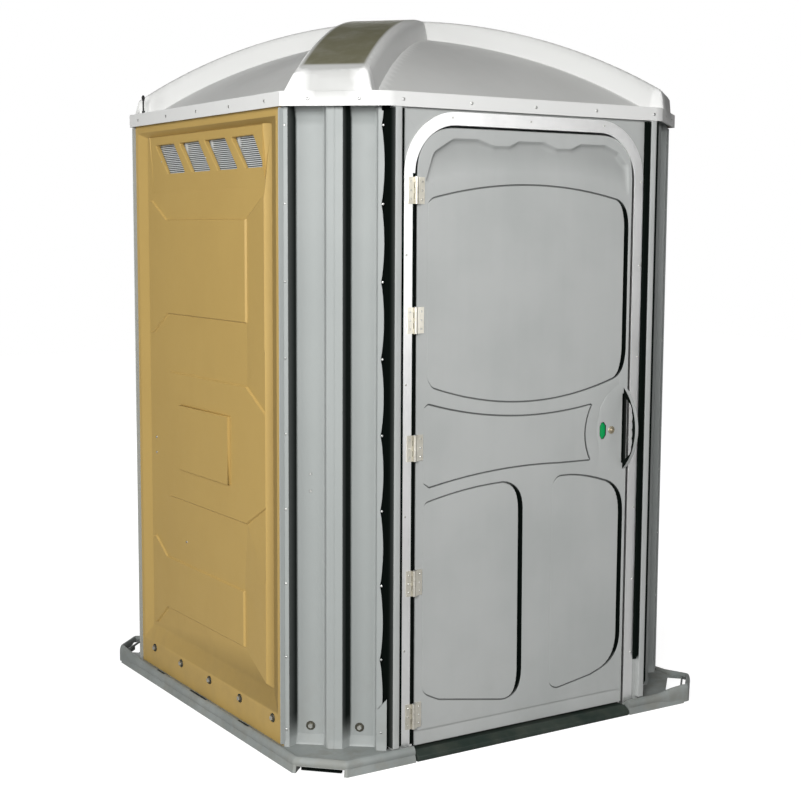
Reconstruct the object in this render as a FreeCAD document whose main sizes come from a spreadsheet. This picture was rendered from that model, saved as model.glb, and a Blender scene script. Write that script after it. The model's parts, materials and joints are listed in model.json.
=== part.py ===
import FreeCAD, Part
import math
import os
import Sketcher

# Portable toilet cabin, wheelchair size. Front with the door faces -Y, +Z is up,
# the ground is z = 0 and the origin is under the middle of the walls.

doc = FreeCAD.newDocument("ToiletCabin")
sheet = doc.addObject("Spreadsheet::Sheet", "Dims")
sheet_row = [0]
parts = {}


class Size:
    """A number with the spreadsheet expression that it comes from."""

    def __init__(self, v, e):
        self.v, self.e = float(v), e

    def _mix(self, o, sign, value, swap=False):
        o = o if isinstance(o, Size) else Size(o, "(%s)" % repr(o) if o < 0 else repr(o))
        a, b = (o, self) if swap else (self, o)
        return Size(value(a.v, b.v), "(%s %s %s)" % (a.e, sign, b.e))

    def __add__(self, o): return self._mix(o, "+", lambda a, b: a + b)
    def __radd__(self, o): return self._mix(o, "+", lambda a, b: a + b, True)
    def __sub__(self, o): return self._mix(o, "-", lambda a, b: a - b)
    def __rsub__(self, o): return self._mix(o, "-", lambda a, b: a - b, True)
    def __mul__(self, o): return self._mix(o, "*", lambda a, b: a * b)
    def __rmul__(self, o): return self._mix(o, "*", lambda a, b: a * b, True)
    def __truediv__(self, o): return self._mix(o, "/", lambda a, b: a / b)
    def __neg__(self): return Size(-self.v, "(0 - %s)" % self.e)


def dim(alias, value, note):
    sheet_row[0] += 1
    row = sheet_row[0]
    sheet.set("A%d" % row, note)
    sheet.set("B%d" % row, str(value))
    sheet.setAlias("B%d" % row, alias)
    return Size(value, "Dims." + alias)


def num(value):
    return value if isinstance(value, Size) else Size(value, repr(float(value)))


def cosd(size):
    return Size(math.cos(math.radians(size.v)), "cos(%s * 1 deg)" % size.e)


def sind(size):
    return Size(math.sin(math.radians(size.v)), "sin(%s * 1 deg)" % size.e)


# Walls
half_w = dim("half_width", 750, "outer face of the side panels from the middle")
half_d = dim("half_depth", 750, "outer face of the front and back panels from the middle")
side_half = half_d - dim("corner_side_leg", 205, "a corner's share of the depth")
front_half = half_w - dim("corner_front_leg", 263, "a corner's share of the width")
wall_bot = dim("wall_bottom", 38, "underside of the walls above the ground")
wall_top = dim("wall_top", 1990, "top edge of the walls")
panel_t = dim("panel_thickness", 36, "depth of the side, front and back panels")
corner_ang = dim("corner_angle", 38, "corner panel against the front")
corner_len = dim("corner_length", 314, "corner panel from edge to edge")
corner_deep = dim("corner_trough", 45, "depth of the corner troughs")
sheet_t = dim("sheet_thickness", 6, "moulded sheet of corners")
# Base
skid_out = dim("skid_overhang", 37.5, "base skid beyond the walls")
skid_x, skid_y = half_w + skid_out, half_d + skid_out
skid_cut = dim("skid_corner_cut", 120, "leg of the cut corners of the skid")
skid_h = dim("skid_height", 45, "top ridge of the skid")
skid_rib = dim("skid_rib", 14, "ribs under the deck")
curb_h = dim("curb_height", 92, "curb inside the walls above the deck")
curb_t = dim("curb_thickness", 14, "curb inside the walls")
floor_t = dim("floor_thickness", 6, "floor plate")
sill_h = dim("sill_height", 31, "threshold height")
# Roof
rim_bot = dim("rim_bottom", 1957, "lower edge of the roof rim")
rim_top = dim("rim_top", 2000, "top of the roof rim")
rim_out = dim("rim_overhang", 15, "rim beyond the wall faces")
rim_side = side_half + dim("rim_side_step", 17, "rim corner beyond the side panel's end")
rim_front = front_half + dim("rim_front_step", 35, "rim corner beyond the front panel's end")
roof_t = dim("roof_thickness", 5, "roof sheet")
vault_rise = dim("vault_rise", 262, "rise of the two crossed vaults")
vault_top = dim("vault_top", 2252, "top of the vault")
ridge_rise = dim("ridge_rise", 251, "rise of the ridge backs")
ridge_top = dim("ridge_top", 2318, "highest point of the roof")
ridge_half = dim("ridge_half", 122, "half width of a ridge")
ridge_set = dim("ridge_set_back", 9, "end of a ridge behind the rim's corner")
# Door and frame
open_half = front_half - dim("jamb_width", 63, "front panel beside the door opening")
sill_half = open_half + 1
open_top = dim("opening_top", 1914, "top of the door opening")
open_rad = dim("opening_corner", 149, "corner radius of the opening")
frame_face = dim("frame_top_face", 37, "height of the frame's face over the door")
frame_side = dim("frame_side_face", 35, "width of the frame's face beside the door")
jamb_rib_gap = dim("jamb_rib_gap", 17, "from the frame's face to the upright rib beside it")
jamb_rib_end = dim("jamb_rib_end", 10, "outer side of the upright rib beyond the front panel's end")
jamb_rib_out = dim("jamb_rib_out", 19, "upright rib in front of the wall")
jamb_rib_in = dim("jamb_rib_root", 16, "root of the upright rib behind the wall's face")
frame_t = dim("frame_thickness", 4, "thickness of the frame's face")
frame_lip = dim("frame_lip", 3, "thickness of the frame's return")
frame_foot = dim("frame_foot", 24, "lower end of the frame's face")
door_gap_l = dim("door_gap_hinge", 10, "gap between frame and door on the hinge side")
door_gap_r = dim("door_gap_lock", 4, "gap between frame and door on the lock side")
door_gap_t = dim("door_gap_top", 6, "gap between frame and door at the top")
door_bot = dim("door_bottom", 37, "lower edge of the door")
door_skin = dim("door_outer_skin", 18, "thickness of the outer door moulding")
door_back = dim("door_inner_skin", 18, "thickness of the inner door moulding")
door_dip = dim("door_relief", 8, "depth of the recesses in the door face")



def side_sign(s):
    return Size(s, "(%d)" % s)


def add(kind, name):
    return doc.addObject(kind, name)


def bind(obj, **values):
    for prop, value in values.items():
        obj.setExpression(prop, num(value).e)
    return obj


def place(obj, x=0, y=0, z=0, axis=None, angle=0):
    for key, value in (("x", x), ("y", y), ("z", z)):
        if isinstance(value, Size) or value:
            obj.setExpression("Placement.Base." + key, num(value).e)
    if axis is not None:
        obj.Placement = FreeCAD.Placement(
            obj.Placement.Base, FreeCAD.Rotation(FreeCAD.Vector(*axis), num(angle).v))
        if isinstance(angle, Size):
            obj.setExpression("Placement.Rotation.Angle", angle.e)
    return obj


def box(name, x0, x1, y0, y1, z0, z1):
    b = add("Part::Box", name)
    bind(b, Length=num(x1) - x0, Width=num(y1) - y0, Height=num(z1) - z0)
    return place(b, x0, y0, z0)


def cyl(name, r, h, x=0, y=0, z=0, axis=None, angle=0):
    c = bind(add("Part::Cylinder", name), Radius=r, Height=h)
    return place(c, x, y, z, axis, angle)


def fuse(name, *shapes):
    f = add("Part::MultiFuse", name)
    f.Shapes = list(shapes)
    return f


def common(name, *shapes):
    f = add("Part::MultiCommon", name)
    f.Shapes = list(shapes)
    return f


def cut(name, base, tool):
    c = add("Part::Cut", name)
    c.Base, c.Tool = base, tool
    return c


def group(name, items):
    g = add("Part::Compound", name)
    g.Links = list(items)
    return g


def part(obj, label):
    obj.Label = label
    parts[label] = obj
    return obj


def arc_radius(dx, dy, rise):
    return ((dx * dx + dy * dy) / 4 + rise * rise) / (2 * rise)


class Outline:
    """A closed outline of lines and arcs, every corner bound to its sizes."""

    def __init__(self, x, y):
        self.start, self.points, self.radii, self.turn = (num(x), num(y)), [], [], []
        self.points.append(self.start)

    def line(self, x, y):
        self.points.append((num(x), num(y)))
        self.radii.append(None)
        self.turn.append(0)
        return self

    def round(self, x, y, r, left=True):
        self.points.append((num(x), num(y)))
        self.radii.append(num(r))
        self.turn.append(1 if left else -1)
        return self

    def bow(self, x, y, rise):
        """An arc to x, y that rises above its chord, on the right hand of the way if positive."""
        x0, y0 = self.points[-1]
        x1, y1 = num(x), num(y)
        size = rise if rise.v > 0 else -rise
        return self.round(x1, y1, arc_radius(x1 - x0, y1 - y0, size), left=rise.v > 0)

    def close(self):
        self.points.append(self.start)
        self.radii.append(None)
        self.turn.append(0)
        return self

    def draw(self, sk):
        count = len(self.radii)
        pts = [FreeCAD.Vector(p[0].v, p[1].v, 0) for p in self.points]
        first, last = [], []
        for i in range(count):
            a, b = pts[i], pts[i + 1]
            if self.radii[i] is None:
                sk.addGeometry(Part.LineSegment(a, b), False)
                first.append(1)
                last.append(2)
                continue
            r, left = self.radii[i].v, self.turn[i] > 0
            p, q = (a, b) if left else (b, a)
            mid, chord = (p + q) * 0.5, q - p
            half = chord.Length / 2
            up = math.sqrt(max(r * r - half * half, 0))
            nrm = FreeCAD.Vector(-chord.y, chord.x, 0).normalize()
            centre = mid + nrm * up
            a0 = math.atan2(p.y - centre.y, p.x - centre.x)
            a1 = math.atan2(q.y - centre.y, q.x - centre.x)
            if a1 <= a0:
                a1 += 2 * math.pi
            circle = Part.Circle(centre, FreeCAD.Vector(0, 0, 1), r)
            sk.addGeometry(Part.ArcOfCircle(circle, a0, a1), False)
            first.append(1 if left else 2)
            last.append(2 if left else 1)
        rules = []
        for i in range(count):
            j = (i + 1) % count
            rules.append(Sketcher.Constraint("Coincident", i + base_of(sk), last[i],
                                             j + base_of(sk), first[j]))
        sk.addConstraint(rules)
        offset = base_of(sk)
        for i in range(count):
            x, y = self.points[i]
            for word, size in (("DistanceX", x), ("DistanceY", y)):
                n = sk.addConstraint(Sketcher.Constraint(word, -1, 1, i + offset, first[i], size.v))
                if "Dims" in size.e:
                    sk.setExpression("Constraints[%d]" % n, size.e)
            if self.radii[i] is not None:
                n = sk.addConstraint(Sketcher.Constraint("Radius", i + offset, self.radii[i].v))
                if "Dims" in self.radii[i].e:
                    sk.setExpression("Constraints[%d]" % n, self.radii[i].e)
        drawn[sk.Name] = offset + count


drawn = {}


def base_of(sk):
    return drawn.get(sk.Name, 0)


class Ring:
    """A full circle in a sketch."""

    def __init__(self, x, y, r):
        self.x, self.y, self.r = num(x), num(y), num(r)

    def draw(self, sk):
        g = base_of(sk)
        sk.addGeometry(Part.Circle(FreeCAD.Vector(self.x.v, self.y.v, 0),
                                   FreeCAD.Vector(0, 0, 1), self.r.v), False)
        for word, size in (("DistanceX", self.x), ("DistanceY", self.y)):
            n = sk.addConstraint(Sketcher.Constraint(word, -1, 1, g, 3, size.v))
            if "Dims" in size.e:
                sk.setExpression("Constraints[%d]" % n, size.e)
        n = sk.addConstraint(Sketcher.Constraint("Radius", g, self.r.v))
        if "Dims" in self.r.e:
            sk.setExpression("Constraints[%d]" % n, self.r.e)
        drawn[sk.Name] = g + 1


def rounded(x0, x1, y0, y1, r, corners="abcd"):
    """A rectangle with round corners: a low left, b low right, c top right, d top left."""
    x0, x1, y0, y1 = num(x0), num(x1), num(y0), num(y1)
    o = Outline(x0 + r, y0) if "a" in corners else Outline(x0, y0)
    if "b" in corners:
        o.line(x1 - r, y0).round(x1, y0 + r, r)
    else:
        o.line(x1, y0)
    if "c" in corners:
        o.line(x1, y1 - r).round(x1 - r, y1, r)
    else:
        o.line(x1, y1)
    if "d" in corners:
        o.line(x0 + r, y1).round(x0, y1 - r, r)
    else:
        o.line(x0, y1)
    if "a" in corners:
        o.line(x0, y0 + r).round(x0 + r, y0, r)
        o.points[-1] = o.points[0]
        return o
    return o.close()


def body(label):
    b = add("PartDesign::Body", label + "_body")
    parts[label] = b
    b.Label = label
    return b


def sketch(b, plane, offset, *outlines):
    sk = add("Sketcher::SketchObject", b.Name + "_sk")
    b.addObject(sk)
    for feature in b.Origin.OriginFeatures:
        if feature.Role == plane or feature.Name.startswith(plane):
            sk.AttachmentSupport = [(feature, "")]
    sk.MapMode = "FlatFace"
    offset = num(offset)
    sk.AttachmentOffset = FreeCAD.Placement(FreeCAD.Vector(0, 0, offset.v), FreeCAD.Rotation())
    if "Dims" in offset.e:
        sk.setExpression("AttachmentOffset.Base.z", offset.e)
    for o in outlines:
        o.draw(sk)
    return sk


def pad(b, sk, length, back=False, taper=None):
    p = add("PartDesign::Pad", b.Name + "_pad")
    b.addObject(p)
    p.Profile = sk
    p.Reversed = back
    p.setExpression("Length", num(length).e)
    if taper is not None:
        p.setExpression("TaperAngle", num(taper).e)
    sk.Visibility = False
    return p


def pocket(b, sk, length, back=False, taper=None):
    """Cuts against the sketch's normal, or along it with back."""
    p = add("PartDesign::Pocket", b.Name + "_pocket")
    b.addObject(p)
    p.Profile = sk
    p.Reversed = back
    p.setExpression("Length", num(length).e)
    if taper is not None:
        p.setExpression("TaperAngle", num(taper).e)
    sk.Visibility = False
    return p


def frustum(name, r1, r2, h, x, y, z, axis=None, angle=0):
    c = bind(add("Part::Cone", name), Radius1=r1, Radius2=r2, Height=h)
    return place(c, x, y, z, axis, angle)


def aim(obj, x, y, z, dx, dy, dz):
    """Puts an object at x, y, z with its axis along dx, dy, dz."""
    way = FreeCAD.Rotation(FreeCAD.Vector(0, 0, 1), FreeCAD.Vector(num(dx).v, num(dy).v, num(dz).v))
    obj.Placement = FreeCAD.Placement(FreeCAD.Vector(), way)
    return place(obj, x, y, z)


# Directions along and across a corner panel
along_x, along_y = cosd(corner_ang), sind(corner_ang)
CORNERS = (("corner_front_left", -1, -1), ("corner_front_right", 1, -1),
           ("corner_back_right", 1, 1), ("corner_back_left", -1, 1))


def at_corner(obj, sx, sy, s, depth, z):
    """Puts an object at s along and depth behind the outer face of a corner panel."""
    s, depth = num(s), num(depth)
    x = side_sign(sx) * (half_w - s * along_x - depth * along_y)
    y = side_sign(sy) * (side_half + s * along_y - depth * along_x)
    obj.setExpression("Placement.Base.x", x.e)
    obj.setExpression("Placement.Base.y", y.e)
    obj.setExpression("Placement.Base.z", num(z).e)
    return obj


def corner_turn(sx, sy):
    """Turn about +Z that lays local +Y on the inward direction of a corner."""
    if sy < 0:
        return corner_ang * side_sign(sx)
    return 180 + corner_ang * side_sign(-sx)


def facing_corner(obj, sx, sy, tilt=0):
    """Turns an object with a corner, after a tilt about its own X."""
    turn = FreeCAD.Rotation(FreeCAD.Vector(0, 0, 1), corner_turn(sx, sy).v)
    turn = turn.multiply(FreeCAD.Rotation(FreeCAD.Vector(1, 0, 0), tilt))
    obj.Placement = FreeCAD.Placement(FreeCAD.Vector(), turn)


def turned_box(name, sx, sy, s0, s1, d0, d1, z0, z1):
    """A box in a corner's own directions: s along the face, d behind it."""
    b = add("Part::Box", name)
    bind(b, Length=num(s1) - s0, Width=num(d1) - d0, Height=num(z1) - z0)
    facing_corner(b, sx, sy)
    b.setExpression("Placement.Rotation.Angle", corner_turn(sx, sy).e)
    flip = (sx < 0) == (sy < 0)
    return at_corner(b, sx, sy, s0 if flip else s1, d0, z0)


# Base skid: a low moulding with a sloping skirt, a deck and a curb that the walls are bolted to
skid = body("base_skid_shell")
c = skid_cut


def octagon(hx, hy, cx, cy):
    o = Outline(-hx, -cy).line(-cx, -hy).line(cx, -hy).line(hx, -cy)
    return o.line(hx, cy).line(cx, hy).line(-cx, hy).line(-hx, cy).close()


skid_taper = dim("skid_taper", 16, "slope of the skirt in degrees")
pad(skid, sketch(skid, "XY_Plane", 0, octagon(skid_x, skid_y, skid_x - c, skid_y - c)), skid_h,
    taper=-skid_taper)
ledge = dim("skid_ledge", 22, "ridge width around the deck")
deck = octagon(skid_x - ledge, skid_y - ledge, skid_x - c, skid_y - c)
pocket(skid, sketch(skid, "XY_Plane", skid_h, deck), skid_h - wall_bot)
deck_t = dim("deck_thickness", 8, "deck over the hollow underside")
cells = dim("skid_cells", 4, "hollows across the underside")
cell_edge = dim("skid_edge", 52, "solid edge around the hollow underside")
step_x, step_y = (skid_x - cell_edge) * 2 / cells, (skid_y - cell_edge) * 2 / cells
n_cells = int(cells.v)
under = []
for i in range(n_cells):
    for j in range(n_cells):
        x0 = cell_edge - skid_x + step_x * i + skid_rib / 2
        y0 = cell_edge - skid_y + step_y * j + skid_rib / 2
        cell = box("skid_cell", x0, x0 + step_x - skid_rib, y0, y0 + step_y - skid_rib,
                   -1, wall_bot - deck_t)
        under.append(cell)
del parts["base_skid_shell"]
skid.Label = "skid_shell"
slot_len = dim("loop_slot_length", 70, "half length of a corner loop's hole")
slot_in = -dim("loop_slot_inner", 63, "inner side of a loop's hole behind the cut corner")
slot_out = -dim("loop_slot_outer", 17, "outer side of a loop's hole behind the cut corner")
slot_wall = dim("loop_slot_wall", 14, "wall between a loop's hole and the hollow underside")
diamond = skid_x + skid_y - c + (slot_in - slot_wall) * 1.41421
keep = common("skid_cells", fuse("skid_cell_blocks", *under),
              place(bind(add("Part::Box", "skid_diamond"), Length=diamond * 1.41421,
                         Width=diamond * 1.41421, Height=skid_h + 2),
                    0, -diamond, -1, (0, 0, 1), 45))
under_h = dim("corner_undercut", 20, "height of the undercut at the cut corners")
under_half = dim("corner_undercut_half", 74, "half width of the undercut")
loop_arch_a = dim("loop_arch_start", 3, "inner end of the arch under a loop beyond the cut's middle")
loop_arch_b = dim("loop_arch_side", 97, "near side of the arch behind the cut's middle")
loop_arch_w = dim("loop_arch_width", 62, "width of the arch under a loop")
loop_arch_h = dim("loop_arch_height", 30, "height of the arch under a loop")
tools = [keep]
for k, (sx, sy) in enumerate(((-1, -1), (1, -1), (1, 1), (-1, 1))):
    turn = 45 + 90 * k + 180
    rad = math.radians(turn)
    cxy, sxy = round(math.cos(rad), 6), round(math.sin(rad), 6)

    def diagonal_box(name, t0, t1, half, z0, z1):
        b = add("Part::Box", name)
        bind(b, Length=t1 - t0, Width=half * 2, Height=num(z1) - z0)
        x = side_sign(1 if cxy > 0 else -1) * (skid_x - c / 2) + t0 * cxy + half * sxy
        y = side_sign(1 if sxy > 0 else -1) * (skid_y - c / 2) + t0 * sxy - half * cxy
        return place(b, x, y, z0, (0, 0, 1), turn)

    tools.append(diagonal_box("skid_undercut", slot_in - 6, slot_out + 60, under_half, -1, under_h))
    if sx * sy < 0:
        tools.append(diagonal_box("skid_loop", slot_in, slot_out, slot_len, -1, skid_h + 5))
        far, near = skid_x - c / 2 + loop_arch_a, skid_y - c / 2 - loop_arch_b
        if sx > 0:
            tools.append(box("loop_arch", far, skid_x + 10, -near - loop_arch_w, -near, -1, loop_arch_h))
        else:
            tools.append(box("loop_arch", -near - loop_arch_w, -near, far, skid_y + 10, -1, loop_arch_h))
tools.append(box("skid_sill_gap", -sill_half, sill_half, -skid_y - 20, panel_t - half_d, -1, skid_h + 5))
jamb_notch = dim("jamb_notch", 1, "clearance around the frame's feet in the skid")
for sx in (-1, 1):
    a, b2 = open_half - frame_lip - jamb_notch, open_half + frame_side + jamb_notch
    x0, x1 = (a, b2) if sx > 0 else (-b2, -a)
    tools.append(box("skid_jamb_gap", x0, x1, -half_d - frame_t - jamb_notch, jamb_notch - half_d,
                     frame_foot - jamb_notch, skid_h + 5))
drain = ((340, 30), (30, 62), (-310, 36))
for sx in (-1, 1):
    for y, half in drain:
        a, b2 = half_w + 2, half_w + 15
        x0, x1 = (a, b2) if sx > 0 else (-b2, -a)
        tools.append(box("skid_drain", x0, x1, y - half, y + half, wall_bot - 16, skid_h + 5))
shell = cut("skid_open", skid, fuse("skid_tools", *tools))
curb = []
for sx in (-1, 1):
    a, b2 = half_w - panel_t - curb_t, half_w - panel_t
    x0, x1 = (a, b2) if sx > 0 else (-b2, -a)
    curb.append(box("curb_side", x0, x1, 28 - side_half, side_half - 28, wall_bot, wall_bot + curb_h))
curb.append(box("curb_back", -front_half, front_half, half_d - panel_t - curb_t, half_d - panel_t,
                wall_bot, wall_bot + curb_h))
trough_back = corner_deep + sheet_t
for name, sx, sy in CORNERS:
    curb.append(turned_box("curb_corner", sx, sy, 40, corner_len - 40, trough_back,
                           trough_back + curb_t, wall_bot, wall_bot + curb_h))
part(fuse("base_skid_solid", shell, *curb), "base_skid")

# Floor plate inside the curb
in_x = half_w - panel_t - curb_t
in_y = half_d - panel_t
floor = body("floor_plate")
off = trough_back + curb_t + 1
fy = side_half - (off - (half_w - in_x) * along_y) / along_x
bx = half_w - (off + (in_y - curb_t - side_half) * along_x) / along_y
front_edge = in_y - 2
fx2 = half_w - (off + (front_edge - side_half) * along_x) / along_y
o = Outline(-in_x, -fy).line(-fx2, -front_edge).line(fx2, -front_edge).line(in_x, -fy)
o.line(in_x, fy).line(bx, in_y - curb_t).line(-bx, in_y - curb_t).line(-in_x, fy).close()
pad(floor, sketch(floor, "XY_Plane", wall_bot, o), floor_t)

# Threshold
sill = body("threshold")
nose = dim("sill_nose", 14, "bevel on the threshold's front")
sill_gap = dim("sill_gap", 5, "gap between the threshold's ends and the skid")
o = Outline(-skid_y, 0).line(panel_t - half_d, 0).line(panel_t - half_d, sill_h)
o.line(nose * 1.6 - skid_y, sill_h).line(-skid_y, sill_h - nose).close()
pad(sill, sketch(sill, "YZ_Plane", sill_gap - sill_half, o), (sill_half - sill_gap) * 2)

# Side panels
field_low = dim("field_low", 190, "lower edge of a side panel's field")
field_top = dim("field_top", 1916, "upper edge of a side panel's field")
field_in = dim("field_depth", 15, "depth of the field behind the border")
field_back = side_half - dim("border_back", 72, "border of a side panel towards the back")
field_front = side_half - dim("border_front", 89, "border of a side panel towards the front")
slope_w = dim("field_slope", 52, "width of the slopes at the field's sides")
slope_top = dim("field_slope_top", 18, "width of the slopes at the field's top and bottom")
raise_t = dim("block_rise", 6, "raised blocks on the field")
block_slope = dim("block_slope", 50, "slope of the block edges in degrees")
hood_low = dim("hood_low", 1727, "lower edge of the sloping vent face")
hood_out = dim("hood_out", 13, "how far the vent face leans out at its top")
hood_half = side_half - dim("hood_border", 121, "from the vent face's end to the panel's end")
vent_top = dim("vent_top", 1886, "upper edge of the vent windows")
vent_low = dim("vent_low", 1789, "lower edge of the vent windows")
vent_edge = dim("vent_edge", 34, "vent face beyond the windows")
vent_bar = dim("vent_bar", 45, "bar between two windows")
vent_step = (hood_half - vent_edge) / 2
vent_w = vent_step - vent_bar
vent_first = hood_half - 41
vent_lean = dim("vent_lean", 88, "how far a window leans to the front")
screen_in = dim("screen_recess", 14, "recess for the vent screen on the inner face")
screen_t = dim("screen_thickness", 6, "vent screen")
slat_h = dim("slat_height", 3.4, "height of a vent slat")
slat_step = dim("slat_step", 6.2, "from slat to slat")
end_w = dim("panel_end_width", 18, "thin ends of the side panels beside the corners")
end_t = dim("panel_end_thickness", 14, "thin ends of the side panels beside the corners")
block_low, block_mid, block_up = ((288, 466), (684, 1120), (1314, 1635))
for label, sx in (("side_panel_left", -1), ("side_panel_right", 1)):
    b = body(label)
    sg = side_sign(sx)
    inward = sx > 0
    pad(b, sketch(b, "YZ_Plane", sg * half_w,
                  rounded(-side_half, side_half, wall_bot, wall_top, 0, "")), panel_t, back=inward)
    ends = [rounded(side_half - end_w, side_half + 1, wall_bot - 1, wall_top + 1, 0, ""),
            rounded(-side_half - 1, end_w - side_half, wall_bot - 1, wall_top + 1, 0, "")]
    pocket(b, sketch(b, "YZ_Plane", sg * (half_w - panel_t), *ends), panel_t - end_t, back=inward)
    outer = sketch(b, "YZ_Plane", sg * half_w,
                   rounded(-field_front - slope_w, field_back + slope_w,
                           field_low - slope_top, field_top + slope_top, 0, ""))
    inner = sketch(b, "YZ_Plane", sg * (half_w - field_in),
                   rounded(-field_front, field_back, field_low, field_top, 0, ""))
    loft = add("PartDesign::SubtractiveLoft", b.Name + "_field")
    b.addObject(loft)
    loft.Profile = outer
    loft.Sections = [inner]
    loft.Ruled = True
    fieldx = sg * (half_w - field_in)
    o = Outline(sg * (half_w - field_in + hood_out), field_top - 1).line(fieldx, field_top - 1)
    o.line(fieldx, hood_low).close()
    pad(b, sketch(b, "XZ_Plane", -hood_half, o), hood_half * 2)
    for zs, reach_back, flare in ((block_up, True, 84), (block_mid, False, 76), (block_low, True, 70)):
        z0, z1 = num(zs[0]), num(zs[1])
        if reach_back:
            o = Outline(field_back - 178, z0).line(-field_front + 150, z0).line(-field_front + 150, z1)
            o.line(field_back - 178, z1).line(field_back - 34, z1 + flare).line(field_back - 34, z0 - flare)
        else:
            o = Outline(field_back - 198, z0).line(-field_front + 150, z0).line(4 - field_front, z0 + flare)
            o.line(4 - field_front, z1 - flare).line(-field_front + 150, z1).line(field_back - 198, z1)
        o.close()
        pad(b, sketch(b, "YZ_Plane", fieldx, o), raise_t, back=not inward, taper=-block_slope)
    pocket(b, sketch(b, "YZ_Plane", sg * (half_w - field_in + raise_t),
                     rounded(-212, 178, 788, 1018, 0, "")), raise_t / 3, back=not inward)
    wins = []
    for i in range(4):
        top_back = vent_first - vent_step * i
        o = Outline(top_back, vent_top).line(top_back - vent_lean, vent_low)
        o.line(top_back - vent_lean - vent_w + 12, vent_low).line(top_back - vent_w, vent_top).close()
        wins.append(o)
    pocket(b, sketch(b, "YZ_Plane", sg * (half_w + 5), *wins), panel_t + 10, back=not inward)
    pocket(b, sketch(b, "YZ_Plane", sg * (half_w - panel_t),
                     rounded(-hood_half, hood_half, vent_low - 16, vent_top + 14, 0, "")),
           screen_in, back=inward)
    # Vent screen: a frame with slats in the recess behind the windows
    x0 = sg * (half_w - panel_t + screen_in) if not inward else half_w - panel_t + screen_in - screen_t
    x1 = x0 + screen_t
    y0, y1, z0, z1 = 2 - hood_half, hood_half - 2, vent_low - 15, vent_top + 13
    edge = box("screen_edge", x0, x1, y0, y1, z0, z1)
    hole = box("screen_hole", x0 - 1, x1 + 1, y0 + 10, y1 - 10, vent_low - 3, vent_top + 3)
    bars = [cut("screen_frame", edge, hole)]
    count = int((vent_top.v - vent_low.v) / slat_step.v) + 1
    for i in range(count):
        zb = vent_low + slat_step * i
        bars.append(box("screen_slat", x0 + 1, x1 - 1, y0 + 5, y1 - 5, zb, zb + slat_h))
    for k in (-1, 0, 1):
        yb = vent_step * k - 25
        bars.append(box("screen_post", x0 + 2, x1, yb - 8, yb + 8, z0 + 5, z1 - 5))
    part(fuse("screen_" + label, *bars), "vent_screen_" + label[11:])

# Corner panels: one moulded sheet with two deep troughs and a rib between them
edge_a = dim("corner_edge_side", 18, "edge strip next to the side panel")
rib_from = dim("corner_rib_from", 137, "start of the rib's face")
rib_to = dim("corner_rib_to", 179, "end of the rib's face")
edge_b = dim("corner_edge_front", 21, "edge strip next to the front panel")
wall_run = dim("corner_wall_run", 20, "how far a trough's shaded wall slopes")
leg_in = dim("corner_leg", 22, "return of the edge strip at the front panel")
cap_t = dim("trough_cap", 12, "closed ends of the troughs")
for label, sx, sy in CORNERS:
    b = body(label)
    flip = 1 if (sx < 0) == (sy < 0) else -1
    f = side_sign(flip)
    d, t, w, ln = corner_deep, sheet_t, wall_run, corner_len
    pts = [(0, 0), (edge_a, 0), (edge_a + w, d), (rib_from - 15, d), (rib_from - 9, 8), (rib_from, 0),
           (rib_to, 0), (rib_to + w + 3, d), (ln - edge_b - 6, d), (ln - edge_b, 0), (ln, 0), (ln, leg_in),
           (ln - t, leg_in), (ln - t, t), (ln - edge_b + 4, t), (ln - edge_b - 2, d + t),
           (rib_to + w - 1, d + t), (rib_to - 2, t), (rib_from + 2, t), (rib_from - 5, 12),
           (rib_from - 11, d + t), (edge_a + w - 4, d + t), (edge_a - 4, t), (t * 1.4, t)]
    o = Outline(f * pts[0][0], pts[0][1])
    for px, py in pts[1:]:
        o.line(f * px, py)
    o.close()
    pad(b, sketch(b, "XY_Plane", 0, o), wall_top - wall_bot)
    caps = []
    for trough in ([(edge_a, 0), (edge_a + w, d), (rib_from - 15, d), (rib_from - 9, 8), (rib_from, 0)],
                   [(rib_to, 0), (rib_to + w + 3, d), (ln - edge_b - 6, d), (ln - edge_b, 0)]):
        o = Outline(f * trough[0][0], trough[0][1])
        for px, py in trough[1:]:
            o.line(f * px, py)
        caps.append(o.close())
    pad(b, sketch(b, "XY_Plane", wall_top - wall_bot - cap_t, *caps), cap_t)
    pad(b, sketch(b, "XY_Plane", 0, *caps), cap_t)
    facing_corner(b, sx, sy)
    b.setExpression("Placement.Rotation.Angle", corner_turn(sx, sy).e)
    at_corner(b, sx, sy, 0, 0, wall_bot)

# Back panel with upright recesses
b = body("back_panel")
pad(b, sketch(b, "XZ_Plane", -half_d, rounded(-front_half, front_half, wall_bot, wall_top, 0, "")), panel_t)
back_ribs = dim("back_recess_count", 5, "upright recesses in the back panel")
n_ribs = int(back_ribs.v)
pitch = (front_half * 2 - 80) / back_ribs
fields = [rounded(40 - front_half + pitch * i + 22, 40 - front_half + pitch * (i + 1) - 22,
                  field_low, field_top, 20) for i in range(n_ribs)]
pocket(b, sketch(b, "XZ_Plane", -half_d, *fields), field_in * 0.8, back=True)


def arch(x0, x1, z0, top, r, t):
    """An upside-down U: x0, x1 and top outside with corner radius r, t wide."""
    o = Outline(x0, z0).line(x0 + t, z0).line(x0 + t, top - r).round(x0 + r, top - t, r - t, left=False)
    o.line(x1 - r, top - t).round(x1 - t, top - r, r - t, left=False).line(x1 - t, z0).line(x1, z0)
    o.line(x1, top - r).round(x1 - r, top, r).line(x0 + r, top).round(x0, top - r, r)
    return o.close()


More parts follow.
